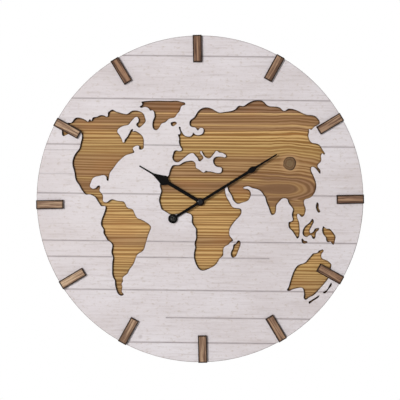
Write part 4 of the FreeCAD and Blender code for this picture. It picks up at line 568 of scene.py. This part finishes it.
def striped_pine():
    """Oiled pine with long level stripes, one knot and the swirl that runs under it."""
    pine = Finish("striped_pine", roughness=0.6, specular=0.18)
    x, y, z = pine.parts(pine.place)
    rise = pine.sum("SUBTRACT", z, DIAL_HEIGHT)
    aside = pine.sum("SUBTRACT", x, KNOT_PLACE[0])
    above = pine.sum("SUBTRACT", rise, KNOT_PLACE[1])
    square = pine.sum("MULTIPLY_ADD", aside, aside, pine.sum("MULTIPLY", above, above))
    knot = pine.sum("SQRT", square)
    level, oval, near = stripe_level(pine, x, rise, above, square)
    streaks, grain = pine_grain(pine, x, level)
    wood = pine_stripes(pine, level, oval, near, grain)
    orange = pine.noise(pine.stretched(9, 1, 26), detail=2)
    wood = pine.tinted(wood, pine.slide(orange, 0.5, 0.75, 0, 0.25), "#b0743f")
    fibre = pine.noise(pine.stretched(60, 60, 1700), detail=3, roughness=0.7)
    wood = pine.tinted(wood, pine.slide(fibre, 0.45, 0.75, 0, 0.2), "#6b4a2c")

    # The panel is a shade darker high on the left
    shaded = pine.sum("MULTIPLY", pine.slide(x, -0.03, -0.09, 0, 0.22),
                      pine.slide(rise, -0.01, 0.03))
    wood = pine.tinted(wood, shaded, "#8a6238")
    wood = knot_wood(pine, wood, aside, knot)
    # Painted shade along the cut walls, darkest on the left
    wood = pine.tinted(wood, pine_corner_shade(pine), "#241208")
    behind = pine.slide(y, PINE_BACK - 0.0006, PINE_BACK - 0.0002)
    pine.colour(pine.mix(behind, wood, sawn_pine(pine, rise, grain)))
    pine.rough(streaks, 0.5, 0.68)
    pine.bumps((streaks, 0.0003), (fibre, 0.00012))
    return pine.material


def stained_bar():
    """Greyish brown stain rubbed thin on the flats, paler on the lower left by painted light, and
    dark along the burnt edges.
    """
    bar = Finish("stained_wood", roughness=0.6, specular=0.15)
    local = bar.node("Attribute", attribute_name="bar_grain").outputs["Vector"]
    tone = bar.node("Attribute", attribute_name="bar_stain_and_light").outputs["Fac"]
    own = bar.node("Attribute", attribute_name="bar_own").outputs["Fac"]
    along, depth, across = bar.parts(local)
    shifted = bar.joined(bar.sum("MULTIPLY_ADD", own, BARS_APART, along), depth, across)
    grain = bar.noise(bar.stretched(14, 120, 360, shifted), detail=4, roughness=0.7)
    fibre = bar.noise(bar.stretched(80, 500, 2200, shifted), detail=3, roughness=0.7)
    blotch = bar.noise(bar.stretched(70, 70, 120, shifted), detail=2)
    dark = bar.ramp(grain, [(0.38, "#35231a"), (0.5, "#6b4c3b"), (0.60, "#a07b60")])
    pale = bar.ramp(grain, [(0.38, "#6b4d3a"), (0.5, "#a98a70"), (0.60, "#dabd9d")])
    wood = bar.mix(tone, dark, pale)
    wood = bar.tinted(wood, bar.slide(fibre, 0.5, 0.75, 0, 0.35), "#5a4334")
    wood = bar.tinted(wood, bar.slide(blotch, 0.5, 0.75, 0, 0.3), "#7f5f4c")
    end, side = (bar.slide(bar.sum("ABSOLUTE", off), size / 2 - BURN_REACH, size / 2 - BURN_FULL)
                 for off, size in ((along, BAR_LENGTH), (across, BAR_WIDTH)))
    uneven = bar.noise(bar.stretched(150, 150, 150, shifted), detail=2)
    edge = bar.sum("MULTIPLY", bar.sum("MAXIMUM", end, side),
                   bar.slide(uneven, 0.2, 0.6, 0.75, 1.0))
    bar.colour(bar.tinted(wood, edge, "#22150e"))
    bar.rough(grain, 0.5, 0.72)
    bar.bumps((grain, 0.0003), (fibre, 0.0001))
    return bar.material


def raw_wood(name, light, middle, dark, along):
    """Sawn softwood with its grain along one axis, rubbed dull at the edges."""
    wood = Finish(name, roughness=0.7, specular=0.25)

    # Growth lines and threads, coarse along the grain and fine across it
    growth = [9 if axis == along else 260 for axis in "xyz"]
    threads = [60 if axis == along else 1500 for axis in "xyz"]
    sway = wood.sum("MULTIPLY", wood.noise(wood.even(9), detail=2), 0.012)
    bent = wood.node("VectorMath", {0: wood.place, 1: wood.joined(sway, sway, sway)},
                     operation="ADD").outputs[0]
    grain = wood.noise(wood.stretched(*growth, bent), detail=3, roughness=0.6)
    fibre = wood.noise(wood.stretched(*threads), detail=3, roughness=0.7)
    stain = wood.noise(wood.even(14), detail=3)
    colour = wood.ramp(grain, [(0.3, dark), (0.5, middle), (0.7, light)])
    colour = wood.tinted(colour, wood.slide(fibre, 0.5, 0.8, 0, 0.35), dark)
    colour = wood.tinted(colour, wood.slide(stain, 0.55, 0.8, 0, 0.4), dark)
    wood.colour(wood.tinted(colour, wood.edges(WOOD_WEAR), dark))
    wood.rough(grain, 0.6, 0.82)
    wood.bumps((grain, 0.0004), (fibre, 0.0002))
    return wood.material


def metal(name, bright, dull, smooth, rough, marks_scale):
    """Metal with fine tool marks, dulled in patches and rubbed bright along its edges."""
    steel = Finish(name, roughness=rough, metallic=1.0)
    marks = steel.noise(steel.stretched(*marks_scale), detail=3, roughness=0.6)
    patches = steel.noise(steel.even(55), detail=3)
    colour = steel.tinted(paint(bright), steel.slide(patches, 0.35, 0.7), dull)
    colour = steel.tinted(colour, steel.slide(marks, 0.5, 0.8, 0, 0.3), dull)
    steel.colour(steel.tinted(colour, steel.edges(METAL_WEAR), bright))
    blend = steel.sum("MULTIPLY_ADD", marks, 0.5, steel.sum("MULTIPLY", patches, 0.5))
    steel.rough(blend, smooth, rough)
    steel.bumps((marks, 0.00003))
    return steel.material


def moulded(name, body, scuffed, smooth, rough, grain, relief, specular):
    """Moulded plastic or rubber with a fine spark-eroded skin and scuffed edges."""
    plastic = Finish(name, roughness=rough, specular=specular)
    skin = plastic.noise(plastic.even(grain), detail=2, roughness=0.6)
    handled = plastic.noise(plastic.even(45), detail=3)
    colour = plastic.tinted(paint(body), plastic.slide(handled, 0.4, 0.75, 0, 0.35), scuffed)
    colour = plastic.tinted(colour, plastic.slide(skin, 0.5, 0.8, 0, 0.25), scuffed)
    worn = plastic.sum("MULTIPLY", plastic.edges(MOULDED_WEAR), 0.5)
    plastic.colour(plastic.tinted(colour, worn, scuffed))
    plastic.rough(handled, smooth, rough)
    plastic.bumps((skin, relief))
    return plastic.material


def hand_black():
    """Satin black lacquer; the minute hand's tail carries a hammered grey dish."""
    lacquer = Finish("hand_black", roughness=0.45, specular=0.04)
    x, _, z = lacquer.parts(lacquer.place)
    speck = lacquer.noise(lacquer.even(900), detail=2)
    cloud = lacquer.noise(lacquer.even(60), detail=3)
    black = lacquer.tinted(paint("#060505"), lacquer.slide(cloud, 0.4, 0.75, 0, 0.6), "#120f0e")
    black = lacquer.tinted(black, lacquer.slide(speck, 0.62, 0.75, 0, 0.4), "#1f1b19")
    worn = lacquer.sum("MULTIPLY", lacquer.edges(LACQUER_WEAR), 0.35)
    black = lacquer.tinted(black, worn, "#3a322d")
    turn = math.radians(MINUTE_ANGLE)
    reach = lacquer.span(lacquer.sum("ADD", x, TAIL_LENGTH * math.sin(turn)),
                         lacquer.sum("ADD", z, TAIL_LENGTH * math.cos(turn) - HUB_HEIGHT))
    dish = lacquer.slide(reach, TAIL_DISH, TAIL_DISH - DISH_EDGE)
    dents = lacquer.noise(lacquer.even(330), detail=2, distortion=0.6)
    grey = lacquer.ramp(dents, [(0.38, "#0c0c0c"), (0.5, "#262524"), (0.66, "#55534f")])
    lacquer.colour(lacquer.mix(dish, black, grey))
    lacquer.rough(cloud, 0.38, 0.55)
    lacquer.bumps((speck, 0.00002), (lacquer.sum("MULTIPLY", dents, dish), 0.0006))
    return lacquer.material


def circuit_laminate():
    """Green lacquered board with its fine weave and copper tracks showing through."""
    board = Finish("board_laminate", roughness=0.45)
    x, _, z = board.parts(board.place)
    warp, weft = (board.sum("SINE", board.sum("MULTIPLY", side, BOARD_WEAVE))
                  for side in (x, z))
    weave = board.sum("MULTIPLY", warp, weft)
    cloud = board.noise(board.even(80), detail=3)
    base = board.tinted(paint("#1c4426"), board.slide(cloud, 0.35, 0.7), "#2a5836")
    tracks = board.node(
        "TexVoronoi", {"Vector": board.stretched(BOARD_TRACKS, 1, BOARD_TRACKS)},
        distance="CHEBYCHEV", feature="DISTANCE_TO_EDGE")
    copper = board.slide(tracks.outputs["Distance"], 0.10, 0.06)
    board.colour(board.tinted(base, board.sum("MULTIPLY", copper, 0.6), "#a86a3c"))
    board.rough(cloud, 0.35, 0.55)
    board.bumps((weave, 0.00001), (copper, 0.00003))
    return board.material


finishes = {
    "whitewashed_wood": whitewash(),
    "pine": striped_pine(),
    "stained_wood": stained_bar(),
    "hand_black": hand_black(),
    "board_laminate": circuit_laminate(),
}
for make, looks in ((raw_wood, SAWN_WOODS), (metal, METALS), (moulded, MOULDINGS)):
    finishes.update({name: make(name, *look) for name, look in looks.items()})
for part in frame["record"]["subparts"]:
    node = nodes[part["node"]]
    made = finishes["rail_wood" if part["node"] == "hanger_rail" else part["material_slot"]]
    for index in range(len(node.data.materials)):
        node.data.materials[index] = made


# Pieces whose shape follows a rule

class Recipe:
    """A Geometry Nodes tree being made, with named inputs for its sizes."""

    def __init__(self, name):
        self.name = name
        self.tree = bpy.data.node_groups.new(name, "GeometryNodeTree")
        self.tree.interface.new_socket("Geometry", in_out="OUTPUT",
                                       socket_type="NodeSocketGeometry")
        self.inlet = self.tree.nodes.new("NodeGroupInput")
        self.outlet = self.tree.nodes.new("NodeGroupOutput")
        self.values = {}

    def size(self, name, value):
        """A named input of the tree, with the value that it is given."""
        kind = "NodeSocketInt" if isinstance(value, int) else "NodeSocketFloat"
        socket = self.tree.interface.new_socket(name, in_out="INPUT", socket_type=kind)
        self.values[socket.identifier] = value
        return self.inlet.outputs[name]

    def node(self, kind, inputs=(), **settings):
        made = self.tree.nodes.new(kind)
        for setting, value in settings.items():
            setattr(made, setting, value)
        for socket, value in dict(inputs).items():
            if isinstance(value, bpy.types.NodeSocket):
                self.tree.links.new(value, made.inputs[socket])
            else:
                made.inputs[socket].default_value = value
        return made.outputs

    def sum(self, operation, *values):
        return self.node("ShaderNodeMath", enumerate(values), operation=operation)[0]

    def joined(self, x, y, z):
        return self.node("ShaderNodeCombineXYZ", {0: x, 1: y, 2: z})[0]

    def together(self, *parts):
        """Several geometries as one, in the order given."""
        joint = self.tree.nodes.new("GeometryNodeJoinGeometry")
        for part in reversed(parts):
            self.tree.links.new(part, joint.inputs[0])
        return joint.outputs[0]

    def labelled(self, geometry, name, kind, domain, value):
        """Keeps a value on a geometry under a name, for its material to read."""
        return self.node("GeometryNodeStoreNamedAttribute",
                         {"Geometry": geometry, "Name": name, "Value": value},
                         data_type=kind, domain=domain)[0]

    def swept(self, path, radius, sides):
        """A wire of a given thickness along a curve, closed at both ends."""
        profile = self.node("GeometryNodeCurvePrimitiveCircle",
                            {"Resolution": sides, "Radius": radius}, mode="RADIUS")[0]
        return self.node("GeometryNodeCurveToMesh",
                         {"Curve": path, "Profile Curve": profile, "Fill Caps": True})[0]

    def finish(self, geometry, material):
        """Ends the tree: instances made real, and the material set."""
        real = self.node("GeometryNodeRealizeInstances", {"Geometry": geometry})[0]
        painted = self.node("GeometryNodeSetMaterial", {"Geometry": real, "Material": material})[0]
        self.tree.links.new(painted, self.outlet.inputs[0])

    def piece(self, name, material):
        """Runs the tree and keeps what it makes as one plain mesh."""
        made = bpy.data.objects.new(name, bpy.data.meshes.new(f"{name}_start"))
        bpy.context.scene.collection.objects.link(made)
        modifier = made.modifiers.new(self.name, "NODES")
        modifier.node_group = self.tree
        for identifier, value in self.values.items():
            modifier[identifier] = value
        ready = made.evaluated_get(bpy.context.evaluated_depsgraph_get())
        mesh = bpy.data.meshes.new_from_object(ready)
        made.modifiers.clear()
        made.data = mesh
        mesh.name = name
        if not mesh.materials:
            mesh.materials.append(material)
        return made


def eased_bar(bars):
    """One bar lying along x at the origin, its front edges eased."""
    length = bars.size("Bar length", BAR_LENGTH)
    width = bars.size("Bar width", BAR_WIDTH)
    depth = bars.size("Bar thickness", BAR_THICKNESS)
    ease = bars.size("Eased edge", BAR_EASE)
    corner = bars.size("Corner radius", BAR_CORNER)
    plan = bars.node("GeometryNodeCurvePrimitiveQuadrilateral",
                     {"Width": length, "Height": width}, mode="RECTANGLE")[0]
    plan = bars.node("GeometryNodeFilletCurve",
                     {"Curve": plan, "Count": CORNER_STEPS, "Radius": corner}, mode="POLY")[0]
    base = bars.node("GeometryNodeFillCurve", {"Curve": plan}, mode="NGONS")[0]
    upright = bars.joined(0.0, 0.0, 1.0)
    body = bars.node("GeometryNodeExtrudeMesh", {
        "Mesh": base, "Offset": upright, "Offset Scale": bars.sum("SUBTRACT", depth, ease),
        "Individual": False}, mode="FACES")
    top = bars.node("GeometryNodeExtrudeMesh", {
        "Mesh": body[0], "Selection": body[1], "Offset": upright, "Offset Scale": ease,
        "Individual": False}, mode="FACES")
    both = bars.sum("MULTIPLY", ease, 2.0)
    inward = bars.joined(bars.sum("SUBTRACT", 1.0, bars.sum("DIVIDE", both, length)),
                         bars.sum("SUBTRACT", 1.0, bars.sum("DIVIDE", both, width)), 1.0)
    spot = bars.node("GeometryNodeInputPosition")[0]
    drawn_in = bars.node("ShaderNodeVectorMath", {0: spot, 1: inward}, operation="MULTIPLY")[0]
    body = bars.node("GeometryNodeSetPosition", {
        "Geometry": top[0], "Selection": top[1], "Position": drawn_in})[0]
    cap = bars.node("GeometryNodeFlipFaces", {"Mesh": base})[0]
    body = bars.node("GeometryNodeMergeByDistance", {
        "Geometry": bars.together(body, cap), "Distance": JOINED_WITHIN})[0]
    body = bars.node("GeometryNodeTransform", {
        "Geometry": body, "Rotation": (QUARTER_TURN, 0.0, 0.0)})[0]
    return bars.labelled(body, "bar_grain", "FLOAT_VECTOR", "POINT", spot)


def bar_place(bars, turn):
    """Where a bar lies: on the ring round the dial's centre, in its direction from the hub."""
    ring = bars.size("Ring radius", BAR_RING)
    drop = bars.size("Hub below centre", HUB_DROP)
    across = bars.sum("SINE", turn)
    up = bars.sum("COSINE", turn)
    offset = bars.sum("MULTIPLY", drop, across)
    chord = bars.sum("SQRT", bars.sum("SUBTRACT", bars.sum("MULTIPLY", ring, ring),
                                      bars.sum("MULTIPLY", offset, offset)))
    reach = bars.sum("MULTIPLY_ADD", drop, up, chord)
    return bars.joined(bars.sum("MULTIPLY", reach, across), DIAL_FRONT,
                       bars.sum("MULTIPLY_ADD", reach, up, HUB_HEIGHT))


def bar_stain_and_light(bars, hour, turn, chance):
    """How pale a bar is: painted light that pales the bars on the lower left, chance, and where it
    is rubbed.
    """
    # Painted light: bars turned towards the lower left are paler
    painted_light_turn = math.radians(PAINTED_LIGHT_HOUR * 360 / HOURS)
    facing = bars.sum("MAXIMUM", 0.0, bars.sum("COSINE", bars.sum("SUBTRACT", turn, painted_light_turn)))
    tone = bars.sum("MULTIPLY_ADD", bars.sum("POWER", facing, 3.0), PAINTED_LIGHT_FALL, TONE_LEAST)
    tone = bars.sum("MULTIPLY_ADD", chance, TONE_CHANCE, tone)
    for retoned, paler in RUBBED_BARS.items():
        this_bar = bars.sum("COMPARE", hour, float(retoned), 0.1)
        tone = bars.sum("MULTIPLY_ADD", this_bar, paler, tone)
    return tone


def hour_bars():
    """Twelve eased bars in a ring, each pointing at the hands' hub."""
    bars = Recipe("hour_bars")
    bar = eased_bar(bars)
    count = bars.size("Bars", HOURS)
    seed = bars.size("Seed", BAR_SEED)
    hour = bars.node("GeometryNodeInputIndex")[0]
    turn = bars.sum("RADIANS", bars.sum("MULTIPLY_ADD", hour, 360 / HOURS, BARS_TURNED))
    marks = bars.node("GeometryNodePoints", {"Count": count, "Position": bar_place(bars, turn)})[0]
    aim = bars.joined(0.0, bars.sum("SUBTRACT", turn, QUARTER_TURN), 0.0)
    placed = bars.node("GeometryNodeInstanceOnPoints", {
        "Points": marks, "Instance": bar, "Rotation": aim})[0]
    chance = bars.node("FunctionNodeRandomValue", {"Seed": seed}, data_type="FLOAT")[1]
    tone = bar_stain_and_light(bars, hour, turn, chance)
    placed = bars.labelled(placed, "bar_stain_and_light", "FLOAT", "INSTANCE", tone)
    placed = bars.labelled(placed, "bar_own", "FLOAT", "INSTANCE", chance)
    bars.finish(placed, finishes["stained_wood"])
    return bars.piece("hour_bars", finishes["stained_wood"])


def winding():
    """One visible layer of fine enamelled wire, wound round the bobbin."""
    low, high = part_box("coil_winding")
    coil = Recipe("coil_winding")
    radius = coil.size("Winding radius", (high.z - low.z) / 2)
    wire = coil.size("Wire radius", WINDING_WIRE)
    length = coil.size("Winding length", high.x - low.x)
    turns = coil.size("Turns", WINDING_TURNS)
    inner = coil.sum("SUBTRACT", radius, wire)
    run = coil.sum("SUBTRACT", length, coil.sum("MULTIPLY", wire, 2.0))
    helix = coil.node("GeometryNodeCurveSpiral", {
        "Resolution": WINDING_STEPS, "Rotations": turns, "Start Radius": inner,
        "End Radius": inner, "Height": run})[0]
    middle = (low + high) / 2
    laid = coil.node("GeometryNodeTransform", {
        "Geometry": coil.swept(helix, wire, WINDING_SIDES),
        "Rotation": (0.0, QUARTER_TURN, 0.0),
        "Translation": coil.joined(coil.sum("MULTIPLY_ADD", run, -0.5, middle.x),
                                   middle.y, middle.z)})[0]
    coil.finish(laid, finishes["copper_wire"])
    return coil.piece("wound_wire", finishes["copper_wire"])


def spring_contact():
    """The cell's negative contact: a strip with its tab, and a cone of spring wire."""
    low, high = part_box("negative_contact")
    contact = Recipe("spring_contact")
    thickness = contact.size("Strip thickness", CONTACT_THICKNESS)
    width = contact.size("Strip width", CONTACT_WIDTH)
    tab = contact.size("Tab width", CONTACT_TAB)
    wire = contact.size("Wire radius", SPRING_WIRE)
    wide = contact.size("Spring radius", SPRING_RADIUS)
    turns = contact.size("Turns", SPRING_TURNS)

    def strip(depth, tall, middle_y):
        """A strip that stands on the contact's lowest corner."""
        block = contact.node("GeometryNodeMeshCube", {
            "Size": contact.joined(thickness, depth, tall)})[0]
        middle_x = contact.sum("MULTIPLY_ADD", thickness, 0.5, low.x)
        middle_z = contact.sum("MULTIPLY_ADD", tall, 0.5, low.z)
        return contact.node("GeometryNodeTransform", {
            "Geometry": block, "Translation": contact.joined(middle_x, middle_y, middle_z)})[0]

    middle = contact.sum("MULTIPLY_ADD", width, 0.5, low.y)
    plate = strip(width, width, middle)
    tongue = strip(tab, high.z - low.z, contact.sum("MULTIPLY_ADD", tab, -0.5, high.y))
    run = contact.sum("SUBTRACT", high.x - low.x - CONTACT_THICKNESS,
                      contact.sum("MULTIPLY", wire, 2.0))
    cone = contact.node("GeometryNodeCurveSpiral", {
        "Resolution": SPRING_STEPS, "Rotations": turns,
        "Start Radius": contact.sum("SUBTRACT", wide, wire),
        "End Radius": contact.sum("MULTIPLY", wide, 0.5), "Height": run})[0]
    foot = contact.sum("ADD", contact.sum("ADD", thickness, wire), low.x)
    spring = contact.node("GeometryNodeTransform", {
        "Geometry": contact.swept(cone, wire, SPRING_SIDES),
        "Rotation": (0.0, QUARTER_TURN, 0.0),
        "Translation": contact.joined(foot, middle,
                                      contact.sum("MULTIPLY_ADD", width, 0.5, low.z))})[0]
    contact.finish(contact.together(plate, tongue, spring), finishes["contact_steel"])
    return contact.piece("spring_contact", finishes["contact_steel"])


bars = hour_bars()
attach(bars, "clock_body")
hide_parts(*(f"hour_bar_{hour:02d}" for hour in range(1, HOURS + 1)))

wire = winding()
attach(wire, "clock_body")
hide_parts("coil_winding")

contact = spring_contact()
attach(contact, "clock_body")
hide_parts("negative_contact")


# Floor, light and camera

def background_rays(tree):
    """1 for a ray that shows the background: to the camera, through glass or off a gloss."""
    path = tree.nodes.new("ShaderNodeLightPath").outputs
    shown = path["Is Camera Ray"]
    for ray in ("Is Transmission Ray", "Is Glossy Ray"):
        either = tree.nodes.new("ShaderNodeMath")
        either.operation = "MAXIMUM"
        tree.links.new(shown, either.inputs[0])
        tree.links.new(path[ray], either.inputs[1])
        shown = either.outputs[0]
    return shown


def pale_floor():
    """A wide pale floor that fades to the white background away from the clock."""
    corners = ((-1, -1), (1, -1), (1, 1), (-1, 1))
    mesh = bpy.data.meshes.new("floor")
    mesh.from_pydata([(x * FLOOR_REACH, y * FLOOR_REACH, FLOOR_HEIGHT) for x, y in corners],
                     [], [(0, 1, 2, 3)])
    plane = bpy.data.objects.new("floor", mesh)
    bpy.context.scene.collection.objects.link(plane)
    paper = Finish("floor_paper", roughness=0.9, specular=0.1)
    cloud = paper.noise(paper.even(2), detail=2)
    paper.colour(paper.tinted(paint("#fbfbfa"), paper.slide(cloud, 0.3, 0.7), "#f6f6f5"))
    reach = paper.node("VectorMath", {0: paper.stretched(1, 1, 0)}, operation="LENGTH")
    far = paper.slide(reach.outputs["Value"], *FLOOR_FADE)
    white = paper.node("Emission", {"Color": (1.0, 1.0, 1.0, 1.0), "Strength": 1.0})
    share = paper.sum("MULTIPLY", far, background_rays(paper.tree))
    blend = paper.node("MixShader", {0: share, 1: paper.shader.outputs[0], 2: white.outputs[0]})
    paper.feed(paper.tree.nodes["Material Output"].inputs["Surface"], blend.outputs[0])
    mesh.materials.append(paper.material)


def surroundings():
    """White behind the clock and in its gloss, and a plainer even light on the clock."""
    world = bpy.data.worlds.new("studio")
    world.use_nodes = True
    bpy.context.scene.world = world
    tree = world.node_tree
    background = tree.nodes["Background"]
    background.inputs["Color"].default_value = (1.0, 1.0, 1.0, 1.0)
    strength = tree.nodes.new("ShaderNodeMapRange")
    tree.links.new(background_rays(tree), strength.inputs["Value"])
    strength.inputs["To Min"].default_value = SKY_LIGHT
    strength.inputs["To Max"].default_value = 1.0
    tree.links.new(strength.outputs[0], background.inputs["Strength"])


def soft_lamp(name, place, aim, size, power):
    """A square lamp at a place, aimed at another."""
    light = bpy.data.lights.new(name, "AREA")
    light.size = size
    light.energy = power
    lamp = bpy.data.objects.new(name, light)
    lamp.location = place
    lamp.rotation_euler = (Vector(aim) - place).to_track_quat("-Z", "Y").to_euler()
    bpy.context.scene.collection.objects.link(lamp)


def camera():
    """A camera square to the wall, whose view is as wide as it should be at the dial."""
    data = bpy.data.cameras.new("camera")
    data.sensor_width = SENSOR_WIDTH
    distance = DIAL_FRONT - CAMERA_PLACE.y
    data.lens = SENSOR_WIDTH * distance / VIEW_WIDTH
    made = bpy.data.objects.new("camera", data)
    made.location = CAMERA_PLACE
    made.rotation_euler = (QUARTER_TURN, 0.0, 0.0)
    bpy.context.scene.collection.objects.link(made)
    bpy.context.scene.camera = made


pale_floor()
surroundings()
soft_lamp("window", KEY_PLACE, (0.0, DIAL_FRONT, DIAL_HEIGHT), KEY_SIZE, KEY_POWER)
soft_lamp("back_fill", FILL_PLACE, (0.0, 0.0, DIAL_HEIGHT), FILL_SIZE, FILL_POWER)
camera()
bpy.context.scene.view_settings.view_transform = "Standard"
